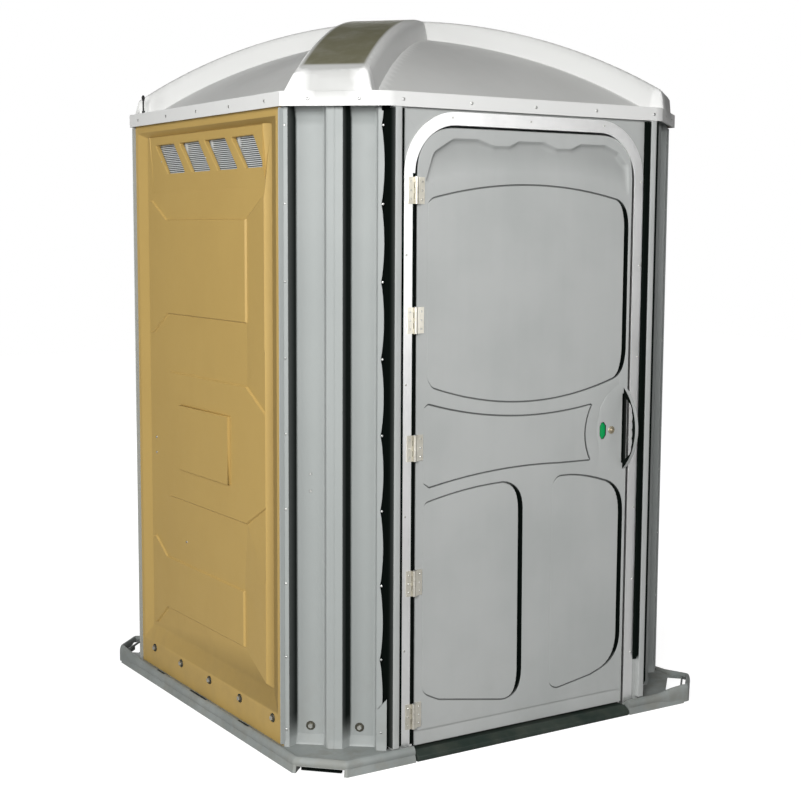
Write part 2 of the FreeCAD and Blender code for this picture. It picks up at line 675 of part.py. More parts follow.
# Front panel around the door opening
b = body("front_panel")
o = Outline(-front_half, wall_bot).line(-open_half, wall_bot).line(-open_half, open_top - open_rad)
o.round(open_rad - open_half, open_top, open_rad, left=False).line(open_half - open_rad, open_top)
o.round(open_half, open_top - open_rad, open_rad, left=False).line(open_half, wall_bot)
o.line(front_half, wall_bot).line(front_half, wall_top).line(-front_half, wall_top).close()
pad(b, sketch(b, "XZ_Plane", half_d, o), panel_t, back=True)
rib_a, rib_b = open_half + frame_side + jamb_rib_gap, front_half + jamb_rib_end
pad(b, sketch(b, "XZ_Plane", half_d - jamb_rib_in, rounded(rib_a, rib_b, skid_h + 3, rim_bot - 1, 0, ""),
              rounded(-rib_b, -rib_a, skid_h + 3, rim_bot - 1, 0, "")), jamb_rib_in + jamb_rib_out)
bolt_z = dim("lock_height", 960, "middle of the lock above the ground")
bolt_h = dim("bolt_height", 16, "height of the bolt's tongue")
bolt_y = dim("bolt_front", 27, "bolt's front face behind the door face")
bolt_t = dim("bolt_thickness", 6, "thickness of the bolt")
bolt_out = dim("bolt_stroke", 22.63, "travel of the bolt")
bolt_gap = dim("bolt_clearance", 1, "clearance around the bolt")
pocket(b, sketch(b, "YZ_Plane", open_half - 1,
                 rounded(bolt_y - half_d - 4, bolt_y + bolt_t - half_d + 2,
                         bolt_z - bolt_h / 2 - 4, bolt_z + bolt_h / 2 + 4, 0, "")),
       bolt_out + 8, back=True)

# Aluminium frame: a face strip and a return that lines the opening
b = body("door_frame")
face_in = open_half - frame_lip
out_x, out_z, out_r = open_half + frame_side, open_top + frame_face, open_rad + frame_face
in_z, in_r = open_top - frame_lip, open_rad - frame_lip
o = Outline(-out_x, frame_foot).line(-face_in, frame_foot).line(-face_in, in_z - in_r)
o.round(in_r - face_in, in_z, in_r, left=False).line(face_in - in_r, in_z)
o.round(face_in, in_z - in_r, in_r, left=False).line(face_in, frame_foot).line(out_x, frame_foot)
o.line(out_x, out_z - out_r).round(out_x - out_r, out_z, out_r).line(out_r - out_x, out_z)
o.round(-out_x, out_z - out_r, out_r)
pad(b, sketch(b, "XZ_Plane", half_d, o.close()), frame_t)
pad(b, sketch(b, "XZ_Plane", half_d,
              arch(-open_half, open_half, sill_h + 1, open_top, open_rad, frame_lip)), panel_t, back=True)
pocket(b, sketch(b, "YZ_Plane", face_in - 1,
                 rounded(bolt_y - half_d - bolt_gap, bolt_y + bolt_t - half_d + bolt_gap,
                         bolt_z - bolt_h / 2 - bolt_gap, bolt_z + bolt_h / 2 + bolt_gap, 0, "")),
       frame_lip + 2, back=True)

# Rubber seal on the wall's inner face, behind the edge of the closed door
b = body("door_seal")
seal_t = dim("seal_thickness", 6, "door seal")
seal_w = dim("seal_width", 34, "door seal")
seal_out = dim("seal_outside", 14, "seal beyond the opening")
pad(b, sketch(b, "XZ_Plane", half_d - panel_t,
              arch(-open_half - seal_out, open_half + seal_out, wall_bot + floor_t + 4,
                   open_top + seal_out, open_rad + seal_out, seal_w)), seal_t, back=True)

# Door: two mouldings back to back
door_l = frame_lip - open_half + door_gap_l
door_r = open_half - frame_lip - door_gap_r
door_top = open_top - frame_lip - door_gap_t
door_w = door_r - door_l
door_rad = open_rad - frame_lip - door_gap_t


def dx(k):
    return door_l + door_w * k


def door_plate(y_front, thick, b):
    o = Outline(door_l, door_bot).line(door_r, door_bot).line(door_r, door_top - door_rad)
    o.round(door_r - door_rad, door_top, door_rad).line(door_l + door_rad, door_top)
    o.round(door_l, door_top - door_rad, door_rad).close()
    return pad(b, sketch(b, "XZ_Plane", half_d - y_front, o), thick, back=True)


up_low = dim("upper_field_low", 1131, "lower ends of the upper field's edge")
band_top = dim("band_field_top", 1089, "upper edge of the middle field at the hinges")
band_low = dim("band_field_low", 829, "lower edge of the middle field at the hinges")
low_top = dim("lower_field_top", 830, "upper edge of the lower fields")
low_low = dim("lower_field_low", 122, "lower edge of the lower fields")
arch_top = dim("upper_panel_top", 1744, "crown of the arched panel")
rail_top = dim("bottom_rail_top", 81, "crease over the bottom rail")
arch_rise = dim("upper_panel_rise", 44, "rise of the arched panel's top edge")
sag = dim("upper_field_sag", 60, "sag of the upper field's lower edge")
outer_door = body("door_outer_shell")
door_plate(num(0), door_skin, outer_door)


def grooved(corners, depth, left, right, low, high):
    """Cuts a groove inside an outline of (x, z) or (x, z, rise) corners, as wide as each side states."""
    xs, zs = [p[0].v for p in corners], [p[1].v for p in corners]
    x_mid, z_mid = (min(xs) + max(xs)) / 2, (min(zs) + max(zs)) / 2
    rings = []
    for inner in (False, True):
        o = None
        for p in corners:
            x, z = p[0], p[1]
            if inner:
                x = x + left if x.v < x_mid else x - right
                z = z + low if z.v < z_mid else z - high
            if o is None:
                o = Outline(x, z)
            elif len(p) > 2:
                o.bow(x, z, p[2])
            else:
                o.line(x, z)
        rings.append(o.close())
    pocket(outer_door, sketch(outer_door, "XZ_Plane", half_d, *rings), depth)


rt = door_top - 30
arch_z = arch_top - arch_rise
scoop = dim("scoop_depth", 6, "hollow over the arched panel")
o = Outline(dx(0.033), arch_z + 12).bow(dx(0.979), arch_z + 12, -arch_rise)
o.line(dx(0.979), rt - 62).line(dx(0.929), rt - 22).line(dx(0.864), rt)
o.line(dx(0.738), rt).line(dx(0.696), rt - 17).line(dx(0.622), rt - 17).line(dx(0.568), rt)
o.line(dx(0.444), rt).line(dx(0.409), rt - 17).line(dx(0.335), rt - 17).line(dx(0.266), rt)
o.line(dx(0.155), rt).line(dx(0.068), rt - 42).line(dx(0.033), rt - 130).close()
pocket(outer_door, sketch(outer_door, "XZ_Plane", half_d, o), scoop, taper=-30)
wide = dim("groove_wide", 13, "grooves at the fields' lock side")
thin = dim("groove_thin", 4, "grooves above and below the fields")
grooved([(dx(0.045), up_low + 30), (dx(0.07), up_low), (dx(0.952), up_low, sag), (dx(0.979), up_low + 50),
         (dx(0.979), arch_z - 40), (dx(0.955), arch_z), (dx(0.065), arch_z, arch_rise),
         (dx(0.045), arch_z - 16)], door_dip, 2, wide, thin, thin)
grooved([(dx(0.033), band_low + 16), (dx(0.06), band_low), (dx(0.657), band_low + 37, num(-15)),
         (dx(0.82), band_low + 36), (dx(0.82), band_top - 42, num(-25)), (dx(0.812), band_top - 36),
         (dx(0.052), band_top, num(-36)), (dx(0.033), band_top - 14)], door_dip * 0.6, 2, 5, thin, thin)
grooved([(dx(0.033), low_low + 74), (dx(0.11), low_low + 44), (dx(0.42), low_low + 2),
         (dx(0.468), low_low + 16), (dx(0.494), low_low + 60), (dx(0.489), low_top - 47),
         (dx(0.466), low_top - 16), (dx(0.412), low_top), (dx(0.045), low_top - 40, num(8)),
         (dx(0.033), low_top - 56)], door_dip, 2, wide, thin, thin)
grooved([(dx(0.626), low_low + 24), (dx(0.66), low_low + 4), (dx(0.838), low_low + 28),
         (dx(0.955), low_low + 62), (dx(0.985), low_low + 92), (dx(0.983), low_top - 92),
         (dx(0.967), low_top - 58), (dx(0.919), low_top - 34), (dx(0.715), low_top, num(6)),
         (dx(0.653), low_top), (dx(0.626), low_top - 28)], door_dip, 2, wide, thin, thin)
pocket(outer_door, sketch(outer_door, "XZ_Plane", half_d,
                          rounded(door_l - 1, door_r + 1, door_bot - 1, rail_top, 0, "")), 3)
grip_z0 = dim("grip_low", 852, "lower end of the hand recess")
grip_z1 = dim("grip_high", 1072, "upper end of the hand recess")
grip_w = dim("grip_width", 17, "width of the hand recess")
grip_in = dim("grip_depth", 13, "depth of the hand recess")
grip_edge = dim("grip_edge", 5, "door edge beside the hand recess")
pocket(outer_door, sketch(outer_door, "XZ_Plane", half_d,
                          rounded(door_r - grip_edge - grip_w, door_r - grip_edge, grip_z0, grip_z1, 7)),
       grip_in)
# Lock: window, spindle hole and a chamber for the indicator
lock_x = dim("lock_from_edge", 68, "lock spindle from the door's lock edge")
spin_r = dim("spindle_radius", 4, "lock spindle")
spin_gap = dim("spindle_clearance", 0.08, "running clearance of the spindle")
disc_r = dim("indicator_radius", 47, "indicator")
lx = door_r - lock_x
win = Outline(lx - 47, bolt_z - 14).line(lx - 40, bolt_z - 26).line(lx - 29, bolt_z - 26)
win.line(lx - 23, bolt_z - 14).line(lx - 23, bolt_z + 14).line(lx - 29, bolt_z + 26)
win.line(lx - 40, bolt_z + 26).line(lx - 47, bolt_z + 14).close()
pocket(outer_door, sketch(outer_door, "XZ_Plane", half_d, win, Ring(lx, bolt_z, spin_r + spin_gap)),
       door_skin)
cham = dim("indicator_chamber", 12, "depth of the indicator chamber")
pocket(outer_door, sketch(outer_door, "XZ_Plane", half_d - door_skin,
                          rounded(lx - disc_r - 3, lx + 36, bolt_z - disc_r - 4, bolt_z + disc_r + 4, 6)),
       cham, back=True)
inner_door = body("door_inner_shell")
door_plate(door_skin, door_back, inner_door)
mech_in = dim("lock_chamber_depth", 16, "depth of the bolt chamber in the inner moulding")
crank_r = dim("crank_radius", 16, "crank pin from the spindle")
pocket(inner_door, sketch(inner_door, "XZ_Plane", half_d - door_skin,
                          rounded(lx - 34, lx + 56, bolt_z - 22, bolt_z + 26, 4)), mech_in)
pocket(inner_door, sketch(inner_door, "YZ_Plane", lx + 50,
                          rounded(bolt_y - half_d - bolt_gap, bolt_y + bolt_t - half_d + bolt_gap,
                                  bolt_z - bolt_h / 2 - bolt_gap, bolt_z + bolt_h / 2 + bolt_gap, 0, "")),
       40, back=True)
pocket(inner_door, sketch(inner_door, "XZ_Plane", half_d - door_skin - mech_in,
                          Ring(lx, bolt_z, spin_r + spin_gap)), door_back)
inner_dip = dim("inner_relief", 5, "recess in the door's inner face")
pocket(inner_door, sketch(inner_door, "XZ_Plane", half_d - door_skin - door_back,
                          rounded(door_l + 60, door_r - 130, door_bot + 110, bolt_z - 160, 30),
                          rounded(door_l + 60, door_r - 60, bolt_z + 170, door_top - 120, 30)),
       inner_dip, back=True)

# Roof: two crossed vaults, two crossed ridges on the diagonals and a rim
vault_set = dim("vault_set_back", 50, "foot of the vault behind the wall faces")


rim_mid_x = (half_w + rim_out + rim_front) / 2
rim_mid_y = (half_d + rim_out + rim_side) / 2


def rim_prism(label, inset, z0, z1):
    b = add("PartDesign::Body", label)
    o = octagon(half_w + rim_out - inset, half_d + rim_out - inset,
                rim_front - inset * 0.45, rim_side - inset * 0.4)
    pad(b, sketch(b, "XY_Plane", z0, o), z1 - z0)
    return b


def radius_of(rise, half):
    """Radius of an arc from its rise and half its chord."""
    return (rise * rise + half * half) / (rise * 2)


def vault(label, shrink, z0):
    foot_x, foot_y = half_w - vault_set, half_d - vault_set
    rx, ry = radius_of(vault_rise, foot_x), radius_of(vault_rise, foot_y)
    hx, hy = foot_x - shrink, foot_y - shrink
    c1 = cyl(label + "_x", rx - shrink, hy * 2, 0, hy, vault_top - rx, (1, 0, 0), 90)
    c2 = cyl(label + "_y", ry - shrink, hx * 2, -hx, 0, vault_top - ry, (0, 1, 0), 90)
    trim = rim_prism(label + "_trim", 14 + shrink, z0, ridge_top)
    return common(label, c1, c2, trim)


def ridges(label, shrink, z0):
    reach = (rim_mid_x + rim_mid_y) / 1.41421 - ridge_set
    r = radius_of(ridge_rise, reach) - shrink
    zc = ridge_top - shrink - r
    half, end = ridge_half - shrink, reach - shrink
    made = []
    for k in (0, 1):
        turn = 45 + 90 * k
        c1, s1 = round(math.cos(math.radians(turn)), 6), round(math.sin(math.radians(turn)), 6)
        wheel = bind(add("Part::Cylinder", label + "_wheel"), Radius=r, Height=half * 2)
        wheel.Placement = FreeCAD.Placement(FreeCAD.Vector(), FreeCAD.Rotation(FreeCAD.Vector(c1, s1, 0), 90))
        place(wheel, -half * s1, half * c1, zc)
        slab = box(label + "_slab", -end, end, -half * 1.2, half * 1.2, 0, ridge_top - z0 + 10)
        slab.Placement = FreeCAD.Placement(FreeCAD.Vector(), FreeCAD.Rotation(FreeCAD.Vector(0, 0, 1), turn))
        place(slab, -end * c1 + half * 1.2 * s1, -end * s1 - half * 1.2 * c1, z0)
        made.append(common(label + "_ridge", wheel, slab))
    return made


outer = fuse("roof_outside", rim_prism("roof_rim", num(0), rim_bot, rim_top),
             vault("roof_vault", num(0), rim_top - roof_t), *ridges("roof", num(0), rim_top - roof_t))
rim_gap = dim("rim_clearance", 1, "gap between rim and walls")
inner = fuse("roof_inside", rim_prism("roof_rim_in", rim_out - rim_gap, rim_bot - 1, rim_top - roof_t),
             vault("roof_vault_in", roof_t, rim_top - roof_t - 1),
             *ridges("roof_in", roof_t, rim_top - roof_t - 1))
part(cut("roof_sheet", outer, inner), "roof")

stud_r = dim("roof_stud_radius", 3, "pin on the roof rim")
stud_h = dim("roof_stud_height", 62, "pin on the roof rim")
stud_in = dim("roof_stud_inset", 8, "pin from the side wall's face")
stud_back = dim("roof_stud_back", 258, "pin in front of the back left corner")
stud_x, stud_y = stud_in - half_w, (half_w + half_d) / 2 - stud_back
part(fuse("roof_pin", cyl("pin_stem", stud_r, stud_h, stud_x, stud_y, rim_top),
          cyl("pin_collar", stud_r * 1.8, 10, stud_x, stud_y, rim_top),
          frustum("pin_head", stud_r * 1.2, stud_r * 2.1, 12, stud_x, stud_y, rim_top + stud_h - 18),
          frustum("pin_tip", stud_r * 2.1, stud_r, 8, stud_x, stud_y, rim_top + stud_h - 6)), "roof_stud")

# Rivets
rivet_r = dim("rivet_radius", 5, "rivet heads")
rivet_h = dim("rivet_height", 2.2, "rivet heads")


def rivet(x, y, z, axis=None, angle=0, r=None):
    r = rivet_r if r is None else r
    return frustum("rivet", r, r * 0.6, rivet_h, x, y, z, axis, angle)


LEFT, RIGHT, FRONT, BACK = ((0, 1, 0), -90), ((0, 1, 0), 90), ((1, 0, 0), 90), ((1, 0, 0), -90)
rim_rivet_z = rim_bot + 20
rim_ends = dim("rim_rivet_ends", 86, "last rivet on a side of the rim from its corner")
heads = []
for i in range(5):
    at = (rim_side - rim_ends) / 2 * (i - 2) + 10
    heads.append(rivet(-half_w - rim_out, at, rim_rivet_z, *LEFT))
    heads.append(rivet(half_w + rim_out, at, rim_rivet_z, *RIGHT))
    at = (rim_front - rim_ends / 2) / 2 * (i - 2) + 10
    heads.append(rivet(at, -half_d - rim_out, rim_rivet_z, *FRONT))
    heads.append(rivet(at, half_d + rim_out, rim_rivet_z, *BACK))
run_x, run_y = (half_w + rim_out - rim_front), (half_d + rim_out - rim_side)
run = (run_x.v ** 2 + run_y.v ** 2) ** 0.5
rim_pair = dim("rim_corner_rivets", 75, "rivets from the middle of a rim corner")
for name, sx, sy in CORNERS:
    for k in (-1, 1):
        head = bind(add("Part::Cone", "rivet"), Radius1=rivet_r, Radius2=rivet_r * 0.6, Height=rivet_h)
        heads.append(aim(head, side_sign(sx) * (rim_mid_x + k * rim_pair * run_x / run),
                         side_sign(sy) * (rim_mid_y - k * rim_pair * run_y / run), rim_rivet_z,
                         sx * run_y, sy * run_x, 0))
part(group("rim_rivets_set", heads), "rim_rivets")

seam_step = dim("seam_rivet_step", 226.5, "from rivet to rivet on the upright seams")
seam_low = dim("seam_rivet_low", 92, "lowest seam rivet")
seam_count = dim("seam_rivet_count", 9, "rivets on one seam")
heads = []


def corner_head(sx, sy, s, depth, z, r1, r2, h):
    """A head that stands on a corner panel and points outwards."""
    c = bind(add("Part::Cone", "corner_head"), Radius1=r1, Radius2=r2, Height=h)
    facing_corner(c, sx, sy, 90)
    return at_corner(c, sx, sy, s, depth, z)


for name, sx, sy in CORNERS:
    for i in range(int(seam_count.v)):
        for at in (edge_a / 2, corner_len - edge_b / 2):
            heads.append(corner_head(sx, sy, at, 0, seam_low + seam_step * i,
                                     rivet_r * 0.8, rivet_r * 0.5, rivet_h))
part(group("seam_rivets_set", heads), "seam_rivets")

# Bolts that hold the walls to the skid's curb
base_bolt_z = dim("base_bolt_height", 108, "wall bolts above the ground")
base_bolt_end = dim("base_bolt_end", 91, "last wall bolt from the panel's end")
washer_r = dim("washer_radius", 14, "washers of the wall bolts")
washer_t = dim("washer_thickness", 2.5, "washers of the wall bolts")
bolt_head_r = dim("bolt_head_radius", 8, "heads of the wall bolts")
bolt_head_h = dim("bolt_head_height", 6, "heads of the wall bolts")
discs, heads = [], []
for i in range(5):
    y = (side_half - base_bolt_end) / 2 * (i - 2) - 20
    for sx, way in ((-1, LEFT), (1, RIGHT)):
        x = side_sign(sx) * half_w
        discs.append(cyl("washer", washer_r, washer_t, x, y, base_bolt_z, *way))
        h = bind(add("Part::Prism", "bolt_head"), Circumradius=bolt_head_r, Height=bolt_head_h)
        h.Polygon = 6
        heads.append(place(h, side_sign(sx) * (half_w + washer_t), y, base_bolt_z, *way))
for i in range(4):
    x = (front_half - base_bolt_end * 1.6) * 2 / 3 * (i - 1.5)
    discs.append(cyl("washer", washer_r, washer_t, x, half_d, base_bolt_z, *BACK))
    h = bind(add("Part::Prism", "bolt_head"), Circumradius=bolt_head_r, Height=bolt_head_h)
    h.Polygon = 6
    heads.append(place(h, x, half_d + washer_t, base_bolt_z, *BACK))
corner_bolt_z = dim("corner_bolt_height", 92, "corner bolts above the ground")
for name, sx, sy in CORNERS:
    for at in (edge_a + wall_run + 38, corner_len - edge_b - 66):
        discs.append(corner_head(sx, sy, at, corner_deep, corner_bolt_z, washer_r + 2, washer_r, washer_t))
        heads.append(corner_head(sx, sy, at, corner_deep - washer_t, corner_bolt_z,
                                 bolt_head_r, bolt_head_r * 0.8, bolt_head_h))
part(group("base_washers_set", discs), "base_washers")
part(group("base_bolts_set", heads), "base_bolts")

# Hinges: five pairs of leaves on one upright axis beside the door
pin_r = dim("hinge_pin_radius", 2.5, "hinge pins")
pin_gap = dim("hinge_pin_clearance", 0.06, "running clearance in the knuckles")
knuckle_r = dim("knuckle_radius", 6, "hinge knuckles")
leaf_t = dim("leaf_thickness", 2.5, "hinge leaves")
leaf_h = dim("leaf_height", 78, "hinge leaves")
axis_x = door_l - 9
axis_y = -half_d - frame_t - knuckle_r
leaf_gap = dim("knuckle_gap", 0.5, "gap between knuckles")
hinge_mid = (135, 547, 957, 1338, 1718)
frame_leaves, door_leaves, pins = [], [], []
leaf_far_frame = -open_half - 21
leaf_far_door = door_l + 25
kn = (leaf_h - leaf_gap * 4) / 5
for z in hinge_mid:
    z0 = num(z) - leaf_h / 2
    bore = cyl("hinge_bore", pin_r + pin_gap, leaf_h + 2, axis_x, axis_y, z0 - 1)
    post = cyl("knuckle_f", knuckle_r, leaf_h, axis_x, axis_y, z0)
    plate = box("leaf_f", leaf_far_frame, axis_x, -half_d - frame_t - leaf_t, -half_d - frame_t,
                z0, z0 + leaf_h)
    gaps = [box("gap_f", axis_x - knuckle_r - 0.3, axis_x + knuckle_r + 1, axis_y - knuckle_r - 1,
                -half_d + 1, z0 + (kn + leaf_gap) * k - leaf_gap, z0 + (kn + leaf_gap) * k + kn + leaf_gap)
            for k in (1, 3)]
    frame_leaves.append(cut("hinge_f", fuse("leaf_knuckle_f", post, plate), fuse("hinge_f_cut", bore, *gaps)))
    bore = cyl("hinge_bore", pin_r + pin_gap, leaf_h + 2, axis_x, axis_y, z0 - 1)
    post = cyl("knuckle_d", knuckle_r, leaf_h, axis_x, axis_y, z0)
    plate = box("leaf_d", door_l + 2, leaf_far_door, -half_d - leaf_t, -half_d, z0, z0 + leaf_h)
    neck = box("leaf_neck", axis_x, door_l + 2 + leaf_t, axis_y, axis_y + leaf_t, z0, z0 + leaf_h)
    drop = box("leaf_drop", door_l + 2, door_l + 2 + leaf_t, axis_y, -half_d, z0, z0 + leaf_h)
    gaps = [box("gap_d", axis_x - knuckle_r - 1, axis_x + knuckle_r + 0.3, axis_y - knuckle_r - 1,
                -half_d + 1, z0 + (kn + leaf_gap) * k - leaf_gap, z0 + (kn + leaf_gap) * k + kn + leaf_gap)
            for k in (0, 2, 4)]
    door_leaves.append(cut("hinge_d", fuse("leaf_knuckle_d", post, plate, neck, drop),
                           fuse("hinge_d_cut", bore, *gaps)))
    pins.append(fuse("hinge_pin_one", cyl("pin_stem", pin_r, leaf_h + 1, axis_x, axis_y, z0 - 0.5),
                     cyl("pin_cap", pin_r * 1.7, 1.5, axis_x, axis_y, z0 + leaf_h + 0.5)))
part(group("hinge_leaves_f", frame_leaves), "hinge_leaves_frame")
part(group("hinge_leaves_d", door_leaves), "hinge_leaves_door")
part(group("hinge_pins_set", pins), "hinge_pins")
f_heads, d_heads = [], []
for z in hinge_mid:
    for k in (-1, 0, 1):
        f_heads.append(rivet(-open_half - 13, -half_d - frame_t - leaf_t, z + 26 * k, *FRONT,
                             r=rivet_r * 0.64))
        d_heads.append(rivet(door_l + 16, -half_d - leaf_t, z + 26 * k, *FRONT, r=rivet_r * 0.64))
part(group("hinge_rivets_d", d_heads), "hinge_rivets_door")
for x in (-290, 0, 290):
    f_heads.append(rivet(x, -half_d - frame_t, open_top + 19, *FRONT, r=rivet_r * 0.8))
for z in (204, 453, 697, 1195, 1493, 1760):
    f_heads.append(rivet(open_half + 26, -half_d - frame_t, z, *FRONT, r=rivet_r * 0.8))
for z in (341, 752, 1148, 1530):
    f_heads.append(rivet(-open_half - 26, -half_d - frame_t, z, *FRONT, r=rivet_r * 0.8))
part(group("frame_rivets_set", f_heads), "frame_rivets")

# Pull handle: a bow over the hand recess, with finger bumps inside
bow_out = dim("pull_reach", 60, "how far the pull handle stands out")
bow_w = dim("pull_width", 14, "thickness of the pull handle")
bow_foot = dim("pull_foot", 24, "foot of the bow beyond the hand recess")
bow_wall = dim("pull_wall", 17, "depth of the bow")
handle = body("pull_handle")
yf = -half_d
o = Outline(yf, grip_z0 - bow_foot).line(yf, grip_z0)
bumps = 6
z_step = (grip_z1 - grip_z0) / (bumps + 2)
reach = bow_out - bow_wall
o.line(yf - reach * 0.78, grip_z0 + z_step)
for i in range(bumps):
    zb = grip_z0 + z_step * (i + 2)
    depth = (0.97, 1.0, 1.0, 1.0, 0.97, 0.78)[i]
    o.bow(yf - reach * depth, zb, num(-3))
o.line(yf, grip_z1).line(yf, grip_z1 + bow_foot)
o.bow(yf, grip_z0 - bow_foot, bow_out)
o.points[-1] = o.points[0]
pad(handle, sketch(handle, "YZ_Plane", door_r - grip_edge - grip_w + 3, o), bow_w)

# Lock: spindle with the indicator, crank and inside lever, and the bolt that the crank drives
spin = fuse("spindle_solid", cyl("spindle_rod", spin_r, 56, lx, -half_d, bolt_z, *BACK),
            cyl("spindle_head", 6.5, 2.5, lx, -half_d - 2.6, bolt_z, *BACK),
            cyl("spindle_neck", spin_r, 4, lx, -half_d - 2, bolt_z, *BACK))
part(spin, "lock_spindle")
disc_y = dim("indicator_front", 7.5, "indicator behind the door face")
disc_t = dim("indicator_thickness", 2, "indicator")
for label, a0 in (("indicator_free", 135), ("indicator_engaged", 225)):
    c = bind(add("Part::Cylinder", label + "_fan"), Radius=disc_r, Height=disc_t, Angle=90)
    turn = FreeCAD.Rotation(FreeCAD.Vector(1, 0, 0), 90)
    turn = turn.multiply(FreeCAD.Rotation(FreeCAD.Vector(0, 0, 1), a0))
    c.Placement = FreeCAD.Placement(FreeCAD.Vector(), turn)
    place(c, lx, disc_y + disc_t - half_d, bolt_z)
    bore = cyl(label + "_hole", spin_r, disc_t + 2, lx, disc_y - half_d - 1, bolt_z, *BACK)
    part(cut(label + "_sector", c, bore), label)
crank_y = dim("crank_front", 20, "crank behind the door face")
crank_t = dim("crank_thickness", 4, "crank plate")
crank_pin_r = dim("crank_pin_radius", 2.5, "crank pin")
root2 = 0.70711
px, pz = lx - crank_r * root2, bolt_z + crank_r * root2
plate = cyl("crank_plate", crank_r + 4.5, crank_t, lx, crank_y - half_d, bolt_z, *BACK)
pin = cyl("crank_pin", crank_pin_r, bolt_y + bolt_t - crank_y, px, crank_y - half_d, pz, *BACK)
part(cut("crank_solid", fuse("crank_block", plate, pin),
         cyl("crank_hole", spin_r, 30, lx, crank_y - half_d - 2, bolt_z, *BACK)), "lock_crank")
slot_gap = dim("crank_slot_clearance", 0.7, "crank pin in the bolt's slot")
bar = box("bolt_bar", lx - 22, door_r - 1.5, bolt_y - half_d, bolt_y + bolt_t - half_d,
          bolt_z - bolt_h / 2, bolt_z + bolt_h / 2)
blk = box("bolt_block", lx - 31, lx + 18, bolt_y - half_d, bolt_y + bolt_t - half_d,
          bolt_z - bolt_h / 2, bolt_z + bolt_h / 2 + 16)
long_slot = box("bolt_long_slot", lx - bolt_out - spin_r - 0.6, lx + spin_r + 0.6, bolt_y - half_d - 1,
                bolt_y + bolt_t - half_d + 1, bolt_z - spin_r - 0.6, bolt_z + spin_r + 0.6)
pin_slot = box("bolt_pin_slot", px - crank_pin_r - slot_gap, px + crank_pin_r + slot_gap, bolt_y - half_d - 1,
               bolt_y + bolt_t - half_d + 1, pz - crank_pin_r - 0.6, bolt_z + crank_r + crank_pin_r + 0.8)
part(cut("bolt_solid", fuse("bolt_raw", bar, blk), fuse("bolt_slots", long_slot, pin_slot)), "lock_bolt")
esc_t = dim("inner_plate_thickness", 3, "plate under the inside lever")
esc_y = door_skin + door_back - half_d
esc = cut("inner_plate", cyl("inner_plate_disc", 27, esc_t, lx, esc_y, bolt_z, *BACK),
          cyl("inner_plate_hole", spin_r + spin_gap, esc_t + 2, lx, esc_y - 1, bolt_z, *BACK))
part(esc, "lock_inner_plate")
knob_y = door_skin + door_back + esc_t + 0.5 - half_d
knob = cut("knob_solid", fuse("knob_raw", cyl("knob_hub", 17, 16, lx, knob_y, bolt_z, *BACK),
                              box("knob_wing", lx - 8, lx + 8, knob_y + 3, knob_y + 16,
                                  bolt_z - 12, bolt_z + 52)),
           cyl("knob_hole", spin_r, 40, lx, knob_y - 1, bolt_z, *BACK))
part(knob, "lock_lever")
keep_t = dim("keeper_thickness", 2, "keeper plate")
keeper = cut("keeper_solid", box("keeper_plate", face_in - keep_t, face_in, bolt_y - half_d - 8,
                                 panel_t - half_d, bolt_z - 30, bolt_z + 30),
             box("keeper_slot", face_in - keep_t - 1, face_in + 1, bolt_y - half_d - bolt_gap,
                 bolt_y + bolt_t - half_d + bolt_gap, bolt_z - bolt_h / 2 - bolt_gap,
                 bolt_z + bolt_h / 2 + bolt_gap))
part(keeper, "lock_keeper")

# Waste tank, its deck, and the seat and lid on it
tank_half = dim("tank_half", 330, "half width of the waste tank")
tank_front = half_d - dim("tank_depth", 560, "tank's front from the back wall's face")
tank_top = dim("tank_top", 430, "top of the tank above the ground")
tank_wall = dim("tank_wall", 6, "wall of the tank")
tank_cut = dim("tank_corner", 36, "leg of the tank's cut corners")
seat_y = half_d - dim("seat_middle", 375, "middle of the seat from the back wall's face")
tb = wall_bot + floor_t
ty1 = half_d - panel_t - curb_t - 2
deck_t = dim("tank_deck_thickness", 8, "deck on the tank")


def cut_corners(x0, x1, y0, y1, leg):
    """A box outline with its corners cut straight."""
    o = Outline(x0, y0 + leg).line(x0 + leg, y0).line(x1 - leg, y0).line(x1, y0 + leg)
    return o.line(x1, y1 - leg).line(x1 - leg, y1).line(x0 + leg, y1).line(x0, y1 - leg).close()


tank = body("waste_tank")
pad(tank, sketch(tank, "XY_Plane", tb, cut_corners(-tank_half, tank_half, tank_front, ty1, tank_cut)),
    tank_top - tb - deck_t)
pocket(tank, sketch(tank, "XY_Plane", tank_top - deck_t,
                    cut_corners(tank_wall - tank_half, tank_half - tank_wall, tank_front + tank_wall,
                                ty1 - tank_wall, tank_cut - tank_wall * 0.586)),
       tank_top - tb - tank_wall - deck_t)
deck = body("tank_deck")
pad(deck, sketch(deck, "XY_Plane", tank_top - deck_t,
                 cut_corners(-tank_half, tank_half, tank_front, ty1, tank_cut)), deck_t)


def oval(cy, hx, hy):
    """A long seat outline: half circles in front and behind, straight sides."""
    o = Outline(hx, cy - hy + hx).line(hx, cy + hy - hx).round(-hx, cy + hy - hx, hx * 1.0001)
    o.line(-hx, cy - hy + hx).round(hx, cy - hy + hx, hx * 1.0001)
    o.points[-1] = o.points[0]
    return o


